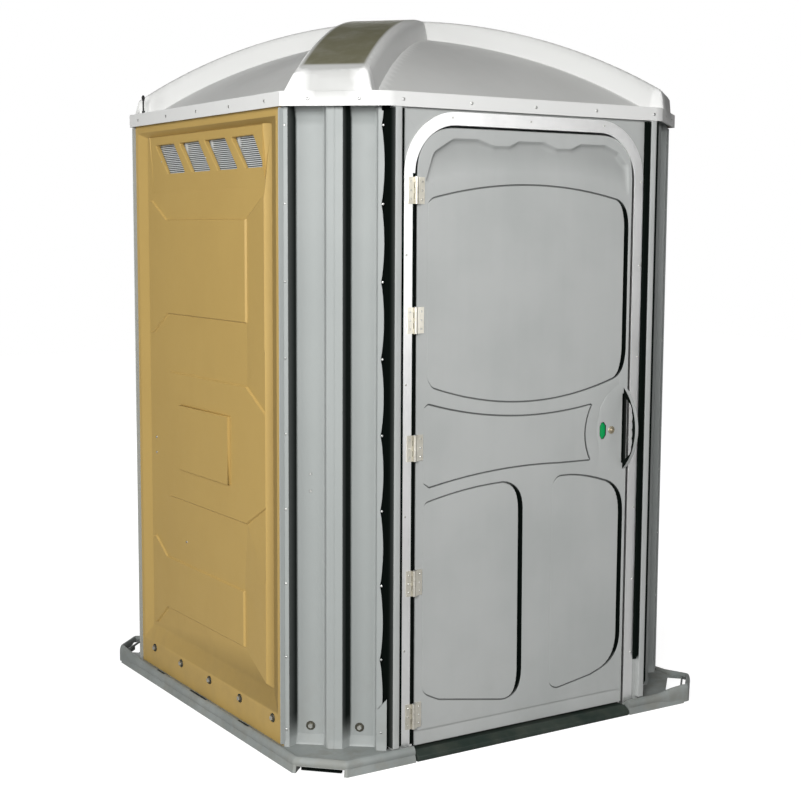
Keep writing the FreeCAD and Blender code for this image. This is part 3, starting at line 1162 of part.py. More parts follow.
hole_hx = dim("seat_hole_half_width", 110, "seat opening")
hole_hy = dim("seat_hole_half_length", 142, "seat opening")
seat_hx = dim("seat_half_width", 182, "seat")
seat_hy = dim("seat_half_length", 216, "seat")
seat_t = dim("seat_thickness", 20, "seat")
lid_t = dim("lid_thickness", 14, "lid")
pipe_x = dim("pipe_x", -235, "vent pipe from the middle")
pipe_y = half_d - dim("pipe_y", 120, "vent pipe from the back wall's face")
pipe_r = dim("pipe_radius", 50, "vent pipe")
pipe_t = dim("pipe_wall", 4, "wall of the vent pipe")
pocket(deck, sketch(deck, "XY_Plane", tank_top, oval(seat_y, hole_hx + 4, hole_hy + 4),
                    Ring(pipe_x, pipe_y, pipe_r + 0.3)), deck_t)
seat = body("seat")
pad(seat, sketch(seat, "XY_Plane", tank_top, oval(seat_y, seat_hx, seat_hy), oval(seat_y, hole_hx, hole_hy)),
    seat_t)
# Lid with two knuckles on a pin that two blocks behind the seat carry
lid_y = seat_y + seat_hy + 26
lid_z = tank_top + seat_t + 9
lid = body("seat_lid")
pad(lid, sketch(lid, "XY_Plane", tank_top + seat_t + 2, oval(seat_y, seat_hx - 3, seat_hy - 3)), lid_t)
for x0 in (-92, 52):
    pad(lid, sketch(lid, "XY_Plane", tank_top + seat_t + 2,
                    rounded(x0, x0 + 40, seat_y + seat_hy - 50, lid_y, 0, "")), lid_t)
    pad(lid, sketch(lid, "YZ_Plane", x0, Ring(lid_y, lid_z, 9)), 40)
lid_pin_r = dim("lid_pin_radius", 5, "hinge pin of the lid")
lid_gap = dim("lid_pin_clearance", 0.08, "running clearance of the lid's hinge")
pocket(lid, sketch(lid, "YZ_Plane", -110, Ring(lid_y, lid_z, lid_pin_r + lid_gap)), 220, back=True)
blocks = [cut("lid_block_bored", box("lid_block", x0, x0 + 22, lid_y - 13, lid_y + 13, tank_top, lid_z + 13),
              cyl("lid_block_hole", lid_pin_r, 30, x0 - 2, lid_y, lid_z, *RIGHT)) for x0 in (-116, 94)]
part(group("lid_blocks_set", blocks), "lid_hinge_blocks")
part(cyl("lid_pin_rod", lid_pin_r, 232, -116, lid_y, lid_z, *RIGHT), "lid_pin")
pipe_top = dim("pipe_top", 1975, "upper end of the vent pipe")
pipe_foot = tank_top - tank_wall - 20
bore = cyl("vent_pipe_in", pipe_r - pipe_t, pipe_top, pipe_x, pipe_y, pipe_foot - 10)
part(cut("vent_pipe_solid", cyl("vent_pipe_out", pipe_r, pipe_top - pipe_foot, pipe_x, pipe_y, pipe_foot),
         bore), "vent_pipe")
clamps = []
for z in (820, 1600):
    ring = cut("clamp_ring", cyl("clamp_out", pipe_r + 4, 28, pipe_x, pipe_y, z),
               cyl("clamp_in", pipe_r, 30, pipe_x, pipe_y, z - 1))
    arm = cut("clamp_arm",
              box("clamp_arm_raw", pipe_x - 14, pipe_x + 14, pipe_y, half_d - panel_t, z, z + 28),
              cyl("clamp_arm_in", pipe_r + 2, 30, pipe_x, pipe_y, z - 1))
    clamps.append(fuse("pipe_clamp", ring, arm))
part(group("pipe_clamps_set", clamps), "pipe_clamps")

# Grab rail along the left wall, with plates on the wall and on the corner panel
rail_z = dim("rail_height", 843, "grab rail above the ground")
rail_r = dim("rail_radius", 16, "grab rail")
rail_off = dim("rail_offset", 74, "grab rail from the wall's inner face")
plate_t = dim("rail_plate_thickness", 5, "plates of the grab rail")
wall_x = panel_t - half_w
rail_back, rail_front = side_half - 83, 5 - side_half
post_y = (side_half - 115, num(-8))
rail_x = wall_x + rail_off
posts = [cyl("rail_post", 11, rail_off - plate_t, wall_x + plate_t, y, rail_z, *RIGHT) for y in post_y]
post = bind(add("Part::Cylinder", "rail_post"), Radius=11, Height=28)
facing_corner(post, -1, -1, -90)
posts.append(at_corner(post, -1, -1, 77, trough_back + plate_t, rail_z))
part(fuse("rail_solid", cyl("rail_tube", rail_r, rail_back - rail_front, rail_x, rail_back, rail_z, *FRONT),
          *posts), "grab_rail_left")
plates = [box("rail_plate", wall_x, wall_x + plate_t, y - 32, y + 32, rail_z - 44, rail_z + 44)
          for y in post_y]
part(group("rail_plates_set", plates), "rail_plates")
corner_plate = turned_box("corner_rail_plate", -1, -1, 48, 106, trough_back, trough_back + plate_t,
                          rail_z - 44, rail_z + 44)
part(corner_plate, "rail_corner_plate")
heads = []
for y, z, out in ((post_y[0], 872, 0), (post_y[0], 818, 0), (post_y[1], 868, 1), (post_y[1], 817, 1)):
    face = half_w - field_in + raise_t * 2 / 3 * out
    heads.append(rivet(-face, y, z, *LEFT, r=rivet_r * 0.9))
for z in (872, 820):
    heads.append(corner_head(-1, -1, 77, corner_deep, z, rivet_r * 0.9, rivet_r * 0.6, rivet_h))
roll_y, roll_z = dim("roll_middle", 183, "paper roll"), dim("roll_height", 560, "paper roll")
heads.append(rivet(field_in - half_w, roll_y, roll_z - 22, *LEFT, r=rivet_r * 0.9))
hood_rise = field_top - 1 - hood_low
for y in (340, -12):
    head = bind(add("Part::Cone", "rivet"), Radius1=rivet_r * 0.5, Radius2=rivet_r * 0.3,
                Height=rivet_h * 0.6)
    heads.append(aim(head, field_in - half_w - hood_out * 0.55, y, hood_low + hood_rise * 0.55,
                     -hood_rise, 0, -hood_out))
part(group("wall_screws_set", heads), "wall_screws")

# A second rail on the back wall over the tank
back_z = dim("back_rail_height", 955, "grab rail on the back wall, above the raised lid")
back_y = half_d - panel_t - rail_off
back_posts = (num(-90), front_half - 17)
rail2 = fuse("rail_back_solid", cyl("rail_back_tube", rail_r, front_half + 133, -120, back_y, back_z, *RIGHT),
             *[cyl("rail_back_post", 11, rail_off - plate_t, x, back_y, back_z, *BACK) for x in back_posts])
part(rail2, "grab_rail_back")
plates = [box("rail_back_plate", x - 32, x + 32, half_d - panel_t - plate_t, half_d - panel_t,
              back_z - 44, back_z + 44) for x in back_posts]
part(group("rail_back_plates_set", plates), "rail_back_plates")

# Paper holder under the rail
roll_r = dim("roll_radius", 56, "paper roll")
roll_w = dim("roll_width", 100, "paper roll")
core_r = dim("roll_core", 21, "core of the paper roll")
rod_r = dim("roll_rod", 20.9, "rod through the roll")
roll_x = wall_x + 70
ends = [box("paper_arm", wall_x + 4, roll_x + 14, y, y + 5, roll_z - 22, roll_z + 22)
        for y in (roll_y - roll_w / 2 - 8, roll_y + roll_w / 2 + 3)]
holder = fuse("paper_holder_solid", box("paper_back", wall_x, wall_x + 4, roll_y - roll_w / 2 - 16,
                                        roll_y + roll_w / 2 + 16, roll_z - 60, roll_z + 70), *ends)
bore = cyl("paper_holder_hole", 9, roll_w + 40, roll_x, roll_y + roll_w / 2 + 20, roll_z, *FRONT)
holder2 = cut("paper_holder_bored", holder, bore)
part(holder2, "paper_holder")
rod = fuse("paper_rod_solid",
           cyl("paper_rod_mid", rod_r, roll_w + 4, roll_x, roll_y + roll_w / 2 + 2, roll_z, *FRONT),
           cyl("paper_rod_ends", 9, roll_w + 16, roll_x, roll_y + roll_w / 2 + 8, roll_z, *FRONT))
part(rod, "paper_rod")
part(cut("paper_roll_solid", cyl("paper_out", roll_r, roll_w, roll_x, roll_y + roll_w / 2, roll_z, *FRONT),
         cyl("paper_in", core_r, roll_w + 2, roll_x, roll_y + roll_w / 2 + 1, roll_z, *FRONT)), "paper_roll")

# Coat hook on the right wall
hook_z = dim("hook_height", 1280, "coat hook above the ground")
hx = half_w - panel_t
part(fuse("coat_hook_solid", box("hook_plate", hx - 4, hx, -20, 20, hook_z - 35, hook_z + 35),
          cyl("hook_peg", 6, 48, hx - 50, 0, hook_z - 12, *RIGHT),
          cyl("hook_tip", 8, 26, hx - 50, 0, hook_z - 20)), "coat_hook")

doc.recompute()
doc.recompute()
os.makedirs("parts", exist_ok=True)
for label, obj in parts.items():
    shape = obj.Shape
    bad = "Invalid" in obj.State or "Touched" in obj.State
    if bad or shape.isNull() or not shape.isValid() or not shape.Solids:
        raise RuntimeError("bad sub-part %s %s" % (label, obj.State))
    shape.exportStep("parts/%s.step" % label)
print("made", len(parts), "sub-parts")
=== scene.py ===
import json
import math

import bmesh
import bpy
from mathutils import Matrix, Vector
from mathutils.geometry import delaunay_2d_cdt


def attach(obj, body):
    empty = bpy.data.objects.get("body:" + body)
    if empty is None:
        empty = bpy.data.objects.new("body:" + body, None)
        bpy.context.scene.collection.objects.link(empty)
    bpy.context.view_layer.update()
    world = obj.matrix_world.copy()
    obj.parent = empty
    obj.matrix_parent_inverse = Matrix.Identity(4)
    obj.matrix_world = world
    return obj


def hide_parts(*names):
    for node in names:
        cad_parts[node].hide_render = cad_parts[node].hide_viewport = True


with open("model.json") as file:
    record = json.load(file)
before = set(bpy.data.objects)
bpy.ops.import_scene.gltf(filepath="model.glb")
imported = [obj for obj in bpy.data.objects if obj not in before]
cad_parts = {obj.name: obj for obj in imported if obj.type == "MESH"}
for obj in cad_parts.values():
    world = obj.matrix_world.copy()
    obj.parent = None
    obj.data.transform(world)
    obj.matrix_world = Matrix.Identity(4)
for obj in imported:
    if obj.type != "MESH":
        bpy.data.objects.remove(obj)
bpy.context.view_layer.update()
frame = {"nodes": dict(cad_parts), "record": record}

# Portable toilet cabin: looks, light and camera. Metres, +Z up, the door faces -Y.
nodes = frame["nodes"]
scene = bpy.context.scene
MM = 0.001


def span(node):
    """Low and high corner of a CAD node's box in millimetres."""
    places = [vert.co for vert in nodes[node].data.vertices]
    return [[round(pick(p[axis] for p in places) / MM, 1) for axis in range(3)] for pick in (min, max)]


# Sizes that the pieces share, in millimetres
(DOOR_L, DOOR_Y, DOOR_LOW), (DOOR_R, _, DOOR_TOP) = span("door_outer_shell")
(_, _, WALL_LOW), (WALL_OUT, WALL_END, WALL_TOP) = span("side_panel_right")
(_, _, ROOF_LOW), (ROOF_OUT, _, _) = span("roof")
SKID_OUT = span("base_skid")[1][0]
SPINDLE_X, SPINDLE_Z = 349, 960
ROOT_2 = math.sqrt(2)


def unit(value):
    """The value, kept between 0 and 1."""
    return min(1.0, max(0.0, value))


def at(value, p):
    """A plain value, or what a function gives at p."""
    return value(p) if callable(value) else value


# Node wiring
class Wiring:
    """Adds nodes to a tree and joins them."""

    def __init__(self, tree):
        self.tree = tree

    def add(self, kind, values=None, **settings):
        """A node with its settings, and with a value or a link at each named input."""
        node = self.tree.nodes.new(kind)
        for key, value in settings.items():
            setattr(node, key, value)
        for key, value in (values or {}).items():
            self.put(node.inputs[key], value)
        return node

    def join(self, source, target):
        self.tree.links.new(source, target)

    def put(self, socket, value):
        if isinstance(value, bpy.types.NodeSocket):
            self.join(value, socket)
        else:
            socket.default_value = value

    def math(self, how, *values, clamp=False):
        return self.add("ShaderNodeMath", dict(enumerate(values)), operation=how, use_clamp=clamp).outputs[0]

    def times(self, a, b):
        return self.math("MULTIPLY", a, b)

    def plus(self, a, b, clamp=False):
        return self.math("ADD", a, b, clamp=clamp)

    def ramp(self, value, low, high, out_low=0.0, out_high=1.0):
        values = {"Value": value, "From Min": low, "From Max": high, "To Min": out_low, "To Max": out_high}
        return self.add("ShaderNodeMapRange", values, interpolation_type="SMOOTHSTEP").outputs["Result"]

    def mix(self, factor, a, b):
        """Colour a turned to colour b by the factor."""
        return self.add("ShaderNodeMix", {"Factor": factor, 6: a, 7: b}, data_type="RGBA").outputs[2]

    def noise(self, where, scale, detail=3.0, rough=0.5, stretch=None):
        if stretch is not None:
            where = self.add("ShaderNodeMapping", {"Vector": where, "Scale": stretch}).outputs[0]
        values = {"Vector": where, "Scale": scale, "Detail": detail, "Roughness": rough}
        return self.add("ShaderNodeTexNoise", values).outputs["Fac"]

    def attribute(self, name):
        return self.add("ShaderNodeAttribute", attribute_name=name).outputs["Fac"]

    def bump(self, height, strength, distance):
        return self.add("ShaderNodeBump", {"Height": height, "Strength": strength,
                                           "Distance": distance}).outputs[0]


def group(name, inputs, outputs):
    """A shader group with named sockets; returns its tree, wiring, inputs and outputs."""
    tree = bpy.data.node_groups.new(name, "ShaderNodeTree")
    for label, kind, value in inputs:
        tree.interface.new_socket(label, in_out="INPUT", socket_type=kind).default_value = value
    for label, kind in outputs:
        tree.interface.new_socket(label, in_out="OUTPUT", socket_type=kind)
    w = Wiring(tree)
    return tree, w, w.add("NodeGroupInput").outputs, w.add("NodeGroupOutput").inputs


COLOR, NUMBER, VECTOR = "NodeSocketColor", "NodeSocketFloat", "NodeSocketVector"
# SHADOW is the colour of painted shade and DIRT that of real dirt; OLIVE is painted shade on the ridge tops
# and PALE a painted highlight
SHADOW, DIRT = (0.006, 0.010, 0.008, 1), (0.19, 0.17, 0.13, 1)
OLIVE, PALE = (0.120, 0.115, 0.070, 1), (0.660, 0.662, 0.650, 1)


def moulded_skin():
    """Blotches, splashed dirt near the ground, fine grain and a slow waviness of moulded sheet.

    Three point attributes paint light into the colour: one paints shade, near black and without sheen; one
    paints an olive-brown shade on the roof's ridge tops; one paints a pale highlight on the roof.
    """
    tree, w, i, o = group(
        "moulded_skin",
        [("Color", COLOR, (0.5, 0.5, 0.5, 1)), ("Deep", COLOR, (0.3, 0.3, 0.3, 1)),
         ("Blotch", NUMBER, 0.3), ("Grain", NUMBER, 0.3), ("Wave", NUMBER, 0.3),
         ("Dirt", NUMBER, 0.2), ("Rough", NUMBER, 0.45)],
        [("Color", COLOR), ("Roughness", NUMBER), ("Metallic", NUMBER), ("Normal", VECTOR)])
    place = w.add("ShaderNodeTexCoord").outputs["Object"]
    broad = w.noise(place, 2.6, 4.0, 0.55)
    cloud = w.noise(place, 14.0, 5.0, 0.6)
    streak = w.noise(place, 9.0, 4.0, 0.55, stretch=(2.2, 2.2, 0.22))
    blend = w.plus(w.times(broad, 0.82), w.times(streak, 0.18))
    shade = w.times(w.ramp(blend, 0.36, 0.66), i["Blotch"])
    color = w.mix(shade, i["Color"], i["Deep"])
    speck = w.ramp(w.noise(place, 420.0, 2.0, 0.6), 0.62, 0.78)
    color = w.mix(w.times(speck, w.times(i["Grain"], 0.25)), color, i["Deep"])
    low = w.ramp(w.add("ShaderNodeSeparateXYZ", {0: place}).outputs["Z"], 0.42, 0.03)
    dirt = w.times(w.times(low, w.ramp(cloud, 0.42, 0.68)), i["Dirt"])
    color = w.mix(dirt, color, DIRT)
    # Painted shade: turns the colour to SHADOW and raises metallic and roughness, so that the near-black base
    # shows no sheen
    painted_shade = w.attribute("painted_shade")
    # Painted shade, olive-brown, on the flat backs of the ridges
    color = w.mix(w.times(w.attribute("ridge_top_shade"), w.ramp(cloud, 0.1, 0.6, 0.8, 1.0)), color, OLIVE)
    # Painted highlight, pale, on the flat rim and the ridges' soft edges
    color = w.mix(w.attribute("pale"), color, PALE)
    w.join(w.mix(painted_shade, color, SHADOW), o["Color"])
    w.join(w.times(painted_shade, 0.9), o["Metallic"])
    rough = w.plus(i["Rough"], w.times(w.math("SUBTRACT", cloud, 0.5), 0.18))
    rough = w.plus(rough, w.times(painted_shade, 0.5))
    w.join(w.plus(rough, w.times(dirt, 0.4), clamp=True), o["Roughness"])
    height = w.plus(w.times(w.noise(place, 4.5, 2.0, 0.4), i["Wave"]),
                    w.times(w.noise(place, 520.0, 3.0, 0.6), w.times(i["Grain"], 0.02)))
    w.join(w.bump(height, 0.35, 0.012), o["Normal"])
    return tree


def drawn_metal():
    """Draw lines along Z, dull patches and small scratches of rolled or drawn metal."""
    tree, w, i, o = group(
        "drawn_metal",
        [("Color", COLOR, (0.8, 0.8, 0.8, 1)), ("Tint", COLOR, (0.5, 0.5, 0.5, 1)),
         ("Patch", NUMBER, 0.4), ("Lines", NUMBER, 0.5), ("Rough", NUMBER, 0.3)],
        [("Color", COLOR), ("Roughness", NUMBER), ("Normal", VECTOR)])
    place = w.add("ShaderNodeTexCoord").outputs["Object"]
    lines = w.noise(place, 60.0, 4.0, 0.6, stretch=(12.0, 12.0, 0.25))
    patch = w.noise(place, 7.0, 4.0, 0.6)
    scratch = w.ramp(w.noise(place, 190.0, 2.0, 0.5, stretch=(1.0, 1.0, 0.12)), 0.66, 0.74)
    mask = w.times(w.ramp(patch, 0.38, 0.68), i["Patch"])
    color = w.mix(mask, i["Color"], i["Tint"])
    color = w.mix(w.times(scratch, 0.25), color, i["Tint"])
    w.join(color, o["Color"])
    rough = w.plus(i["Rough"], w.times(w.math("SUBTRACT", lines, 0.5), w.times(i["Lines"], 0.5)))
    w.join(w.plus(rough, w.times(mask, 0.25), clamp=True), o["Roughness"])
    height = w.plus(lines, w.times(scratch, -0.6))
    w.join(w.bump(height, 0.12, 0.002), o["Normal"])
    return tree


skin_group, metal_group = moulded_skin(), drawn_metal()
finish_of = {}


def material(name, tree, tones, pieces, metallic, specular, values):
    """A Principled material for pieces, fed by one of the groups; tones are its main and second colour."""
    m = bpy.data.materials.new(name)
    m.use_nodes = True
    w = Wiring(m.node_tree)
    shader = m.node_tree.nodes["Principled BSDF"]
    shader.inputs["Metallic"].default_value = metallic
    shader.inputs["Specular IOR Level"].default_value = specular
    g = w.add("ShaderNodeGroup", node_tree=tree)
    for socket, tone in zip(g.inputs, tones):
        socket.default_value = (*tone, 1)
    for key, value in values.items():
        g.inputs[key.capitalize()].default_value = value
    for socket in g.outputs:
        w.join(socket, shader.inputs["Base Color" if socket.name == "Color" else socket.name])
    finish_of.update(dict.fromkeys(pieces.split(), m))
    return m


def moulded(name, main, deep, pieces, specular=0.3, **values):
    return material(name, skin_group, (main, deep), pieces, 0.0, specular, values)


def metal(name, main, tint, pieces="", **values):
    return material(name, metal_group, (main, tint), pieces, 1.0, 0.5, values)


# Finishes and the nodes that have them
moulded("tan_panel", (0.440, 0.300, 0.096), (0.400, 0.268, 0.084), "side_panel_left side_panel_right",
        blotch=0.35, wave=0.2, dirt=0.1, rough=0.5)
moulded("grey_wall", (0.300, 0.318, 0.311), (0.262, 0.280, 0.273),
        "corner_front_left corner_front_right corner_back_right corner_back_left back_panel",
        blotch=0.4, wave=0.2, dirt=0.12, rough=0.48)
moulded("grey_door", (0.405, 0.416, 0.408), (0.335, 0.350, 0.342),
        "door_outer_shell door_inner_shell pull_handle front_panel", blotch=0.55, dirt=0.06, rough=0.42)
moulded("roof_skin", (0.455, 0.457, 0.446), (0.400, 0.403, 0.390), "roof", blotch=0.5, wave=0.4, dirt=0.0,
        rough=0.42)
moulded("grey_base", (0.270, 0.290, 0.281), (0.185, 0.202, 0.194), "base_skid", blotch=0.9, wave=0.6,
        grain=1.0, dirt=0.3, rough=0.5)
moulded("grey_floor", (0.150, 0.155, 0.155), (0.090, 0.095, 0.095), "floor_plate", blotch=0.8, grain=1.0,
        dirt=0.8, rough=0.6)
moulded("dark_sill", (0.014, 0.024, 0.019), (0.034, 0.044, 0.036), "threshold", blotch=0.8, grain=1.0,
        dirt=0.08, rough=0.42)
moulded("grey_screen", (0.50, 0.52, 0.52), (0.40, 0.42, 0.42), "vent_screen_left vent_screen_right",
        dirt=0.0, rough=0.5)
moulded("grey_tank", (0.170, 0.185, 0.195), (0.130, 0.142, 0.150), "waste_tank tank_deck", blotch=0.5,
        dirt=0.3, rough=0.5)
moulded("dark_seat", (0.018, 0.018, 0.020), (0.030, 0.030, 0.032), "seat seat_lid lid_hinge_blocks",
        wave=0.1, dirt=0.0, rough=0.28)
moulded("grey_pipe", (0.235, 0.245, 0.250), (0.190, 0.200, 0.205), "vent_pipe", blotch=0.4, rough=0.42)
moulded("grey_holder", (0.080, 0.084, 0.088), (0.055, 0.058, 0.060), "paper_holder paper_rod", dirt=0.0,
        rough=0.35)
moulded("black_fittings", (0.012, 0.013, 0.013), (0.030, 0.030, 0.030),
        "lock_lever lock_inner_plate roof_stud", blotch=0.4, dirt=0.0, rough=0.4)
moulded("black_rubber", (0.010, 0.012, 0.012), (0.022, 0.024, 0.024), "door_seal", blotch=0.5, grain=1.0,
        rough=0.7, specular=0.25)
moulded("green_indicator", (0.0, 0.330, 0.085), (0.0, 0.260, 0.065), "indicator_free", blotch=0.4,
        wave=0.0, dirt=0.0, rough=0.35)
moulded("red_indicator", (0.480, 0.020, 0.016), (0.380, 0.014, 0.012), "indicator_engaged", blotch=0.4,
        wave=0.0, dirt=0.0, rough=0.35)
moulded("paper_tissue", (0.800, 0.790, 0.770), (0.720, 0.710, 0.690), "paper_roll", grain=1.0, wave=0.5,
        dirt=0.0, rough=0.9, specular=0.1)
metal("aluminium_frame", (0.93, 0.93, 0.92), (0.76, 0.77, 0.77), "door_frame", patch=0.35, rough=0.36)
metal("aluminium_leaves", (0.80, 0.77, 0.68), (0.42, 0.40, 0.34), "hinge_leaves_frame hinge_leaves_door",
      patch=0.6, rough=0.34)
metal("aluminium_rivets", (0.58, 0.58, 0.56), (0.26, 0.27, 0.27), "rim_rivets seam_rivets wall_screws",
      patch=0.7, rough=0.36)
metal("zinc_nuts", (0.66, 0.66, 0.62), (0.34, 0.33, 0.29), "base_bolts hinge_rivets_door frame_rivets",
      patch=0.6, rough=0.34)
metal("steel_plated", (0.120, 0.115, 0.090), (0.060, 0.058, 0.050), "base_washers", patch=0.8, rough=0.46)
metal("steel_tube", (0.60, 0.60, 0.60), (0.42, 0.42, 0.41), "hinge_pins lock_spindle lock_crank lock_bolt"
      " lock_keeper lid_pin pipe_clamps grab_rail_left grab_rail_back rail_plates rail_corner_plate"
      " rail_back_plates coat_hook", patch=0.5, rough=0.28)
brass = metal("brass_worn", (0.62, 0.53, 0.36), (0.30, 0.27, 0.21), patch=0.7, rough=0.33)

body_of = {name: body for body, names in frame["record"]["behaviour"]["bodies"].items() for name in names}
for name, obj in nodes.items():
    obj.data.materials.clear()
    obj.data.materials.append(finish_of[name])


def settle(obj, node, angle=50):
    """Shades obj, which stands for a CAD node with the same body and finish."""
    even_shading(obj, angle)
    if not obj.data.materials:
        obj.data.materials.append(finish_of[node])
    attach(obj, body_of[node])
    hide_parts(node)
    return obj


def dress(obj, node, finish=None, slot=None, angle=40):
    """Shades a piece that the CAD model lacks, which rides with a node and has its look unless told."""
    even_shading(obj, angle)
    obj.data.materials.append(finish or finish_of[slot or node])
    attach(obj, body_of[node])


def linked(name, data):
    """A new object in the scene."""
    obj = bpy.data.objects.new(name, data)
    scene.collection.objects.link(obj)
    return obj


def bake_modifiers(obj):
    """Leaves a plain mesh with the modifiers' result in it."""
    bpy.context.view_layer.update()
    graph = bpy.context.evaluated_depsgraph_get()
    mesh = bpy.data.meshes.new_from_object(obj.evaluated_get(graph))
    obj.modifiers.clear()
    old, obj.data = obj.data, mesh
    mesh.name = obj.name
    if old.users == 0:
        bpy.data.meshes.remove(old)


def even_shading(obj, angle=50):
    """Smooth shading that leaves large flat faces flat."""
    obj.data.shade_smooth()
    obj.data.set_sharp_from_angle(angle=math.radians(angle))
    weighted = obj.modifiers.new("normals", "WEIGHTED_NORMAL")
    weighted.keep_sharp = True
    weighted.weight = 100
    bake_modifiers(obj)


def softened(node, width):
    """A copy of a CAD node with its moulded edges rounded."""
    bm = bmesh.new()
    bm.from_mesh(nodes[node].data)
    bmesh.ops.remove_doubles(bm, verts=bm.verts, dist=2e-5)
    mesh = bpy.data.meshes.new(node + "_soft")
    bm.to_mesh(mesh)
    bm.free()
    obj = linked(node + "_soft", mesh)
    bevel = obj.modifiers.new("round", "BEVEL")
    bevel.width, bevel.segments = width, 2
    bevel.limit_method, bevel.angle_limit = "ANGLE", math.radians(28)
    bevel.use_clamp_overlap = True
    bevel.miter_outer = "MITER_ARC"
    bake_modifiers(obj)
    return settle(obj, node, 32)


# Pieces with rounded edges, and the width of the rounding in metres
EDGE_ROUNDING = {"back_panel": 0.004, "front_panel": 0.003, "door_inner_shell": 0.003, "base_skid": 0.005,
                 "waste_tank": 0.006, "tank_deck": 0.003, "seat": 0.006, "seat_lid": 0.004,
                 "door_frame": 0.0008, "threshold": 0.003}
for node, width in EDGE_ROUNDING.items():
    softened(node, width)


# Outlines on a face: lists of (across, up) in millimetres
def turned(points, i):
    """Unit normal to the left of the path at point i of a closed outline."""
    a, b, c = points[i - 1], points[i], points[(i + 1) % len(points)]
    d1 = (Vector(b) - Vector(a)).normalized()
    d2 = (Vector(c) - Vector(b)).normalized()
    n = Vector((-(d1.y + d2.y), d1.x + d2.x))
    return n.normalized() if n.length > 1e-6 else Vector((-d1.y, d1.x))


def filleted(points, radius, closed=True, steps=5, even=False):
    """Rounds the corners (u, v) or (u, v, radius) of an outline. even keeps the count of points."""
    out = []
    count = len(points)
    for i, p in enumerate(points):
        b = Vector(p[:2])
        if not closed and i in (0, count - 1):
            out.append(tuple(b))
            continue
        a, c = Vector(points[i - 1][:2]), Vector(points[(i + 1) % count][:2])
        r = p[2] if len(p) > 2 else radius
        u, w = (a - b), (c - b)
        turn = u.angle(w, 0.0)
        reach = min(r / max(math.tan(turn / 2), 1e-3), u.length * 0.48, w.length * 0.48)
        if even:
            reach = max(reach, 0.3)
        elif turn > math.radians(176) or reach < 0.05:
            out.append(tuple(b))
            continue
        start, end = b + u.normalized() * reach, b + w.normalized() * reach
        for k in range(steps + 1):
            s = k / steps
            out.append(tuple(start * (1 - s) ** 2 + b * (2 * s * (1 - s)) + end * s * s))
    return out


def bowed(corners):
    """Straight and bowed runs between corners; a corner's third value is the rise of the run to it."""
    spacing = 22.0
    out = [tuple(corners[0][:2])]
    for i in range(1, len(corners)):
        a, b = Vector(corners[i - 1][:2]), Vector(corners[i][:2])
        rise = corners[i][2] if len(corners[i]) > 2 else 0.0
        if rise:
            n = max(4, int((b - a).length / spacing))
            side = Vector((b - a).yx).normalized()
            side = Vector((-side.x, side.y))
            for k in range(1, n):
                s = k / n
                out.append(tuple(a.lerp(b, s) - side * (4 * rise * s * (1 - s))))
        out.append(tuple(b))
    return out


def moved_in(points, amount):
    """The outline moved to its left by an amount, or by amount(normal) at each point."""
    out = []
    for i, p in enumerate(points):
        n = turned(points, i)
        out.append(tuple(Vector(p) + n * at(amount, n)))
    return out


def counter_clockwise(points):
    area = sum(a[0] * b[1] - b[0] * a[1] for a, b in zip(points, points[1:] + points[:1]))
    return points if area > 0 else points[::-1]


def inside(p, ring):
    """True if p lies within a closed outline."""
    hit = False
    for a, b in zip(ring, ring[1:] + ring[:1]):
        if (a[1] > p[1]) != (b[1] > p[1]) and p[0] < (b[0] - a[0]) * (p[1] - a[1]) / (b[1] - a[1]) + a[0]:
            hit = not hit
    return hit


class Face:
    """A flat face with raised and sunk lines, meshed so that every line is an edge."""

    def __init__(self, border, height=0.0, dark=0.0):
        self.points, self.heights, self.dark, self.edges, self.holes = [], [], [], [], []
        self.outer = self.loop(border, height, dark)

    def dots(self, points, height, dark=0.0):
        """Single points; height and dark are numbers or functions of the point."""
        first = len(self.points)
        for p in points:
            self.points.append(Vector(p[:2]))
            self.heights.append(at(height, p))
            self.dark.append(at(dark, p))
        return list(range(first, len(self.points)))

    def loop(self, points, height, dark=0.0, closed=True):
        """A line of points; returns their numbers."""
        ids = self.dots(points, height, dark)
        self.edges += list(zip(ids, ids[1:]))
        if closed:
            self.edges.append((ids[-1], ids[0]))
        return ids

    def hole(self, points, height=0.0, dark=0.0):
        self.holes.append([Vector(p[:2]) for p in points])
        self.loop(points, height, dark)

    def groove(self, points, width, depth, steps):
        """A groove inside a counter-clockwise outline; steps are (share of width, share of depth).

        Width and depth follow the side's outward normal. Deeper than 0.8 mm a groove is painted with shade,
        more in a deeper groove.
        """
        for share, part in steps:
            ring = moved_in(points, lambda n: width(-n) * share)
            for k, i in enumerate(self.loop(ring, 0.0)):
                full = at(depth, -turned(points, k))
                self.heights[i] = -full * part
                self.dark[i] = min(1.0, 0.3 + full / 14.0) * unit((-self.heights[i] - 0.8) / 1.2)

    def mesh(self, base=lambda u, v: 0.0):
        """Points (u, v, height, darkness) and triangles, without the holes."""
        coords, _, faces, origin, _, _ = delaunay_2d_cdt(
            self.points, self.edges, [self.outer], 1, 1e-4)
        out = []
        for p, source in zip(coords, origin):
            h = sum(self.heights[i] for i in source) / len(source) if source else 0.0
            dark = max([self.dark[i] for i in source], default=0.0)
            out.append((p.x, p.y, h + base(p.x, p.y), dark))
        kept = []
        for f in faces:
            middle = sum((coords[i] for i in f), Vector((0, 0))) / len(f)
            if not any(inside(middle, ring) for ring in self.holes):
                kept.append(tuple(f))
        return out, kept


def mesh_object(name, bm):
    """A scene object from bm, its faces pointing outwards."""
    bmesh.ops.recalc_face_normals(bm, faces=bm.faces)
    mesh = bpy.data.meshes.new(name)
    bm.to_mesh(mesh)
    bm.free()
    return linked(name, mesh)


def points_with_painted_shade(bm, layer, points):
    """Adds points (x, y, z, painted shade) and returns their vertices."""
    verts = [bm.verts.new(p[:3]) for p in points]
    for vert, p in zip(verts, points):
        vert[layer] = p[3]
    return verts


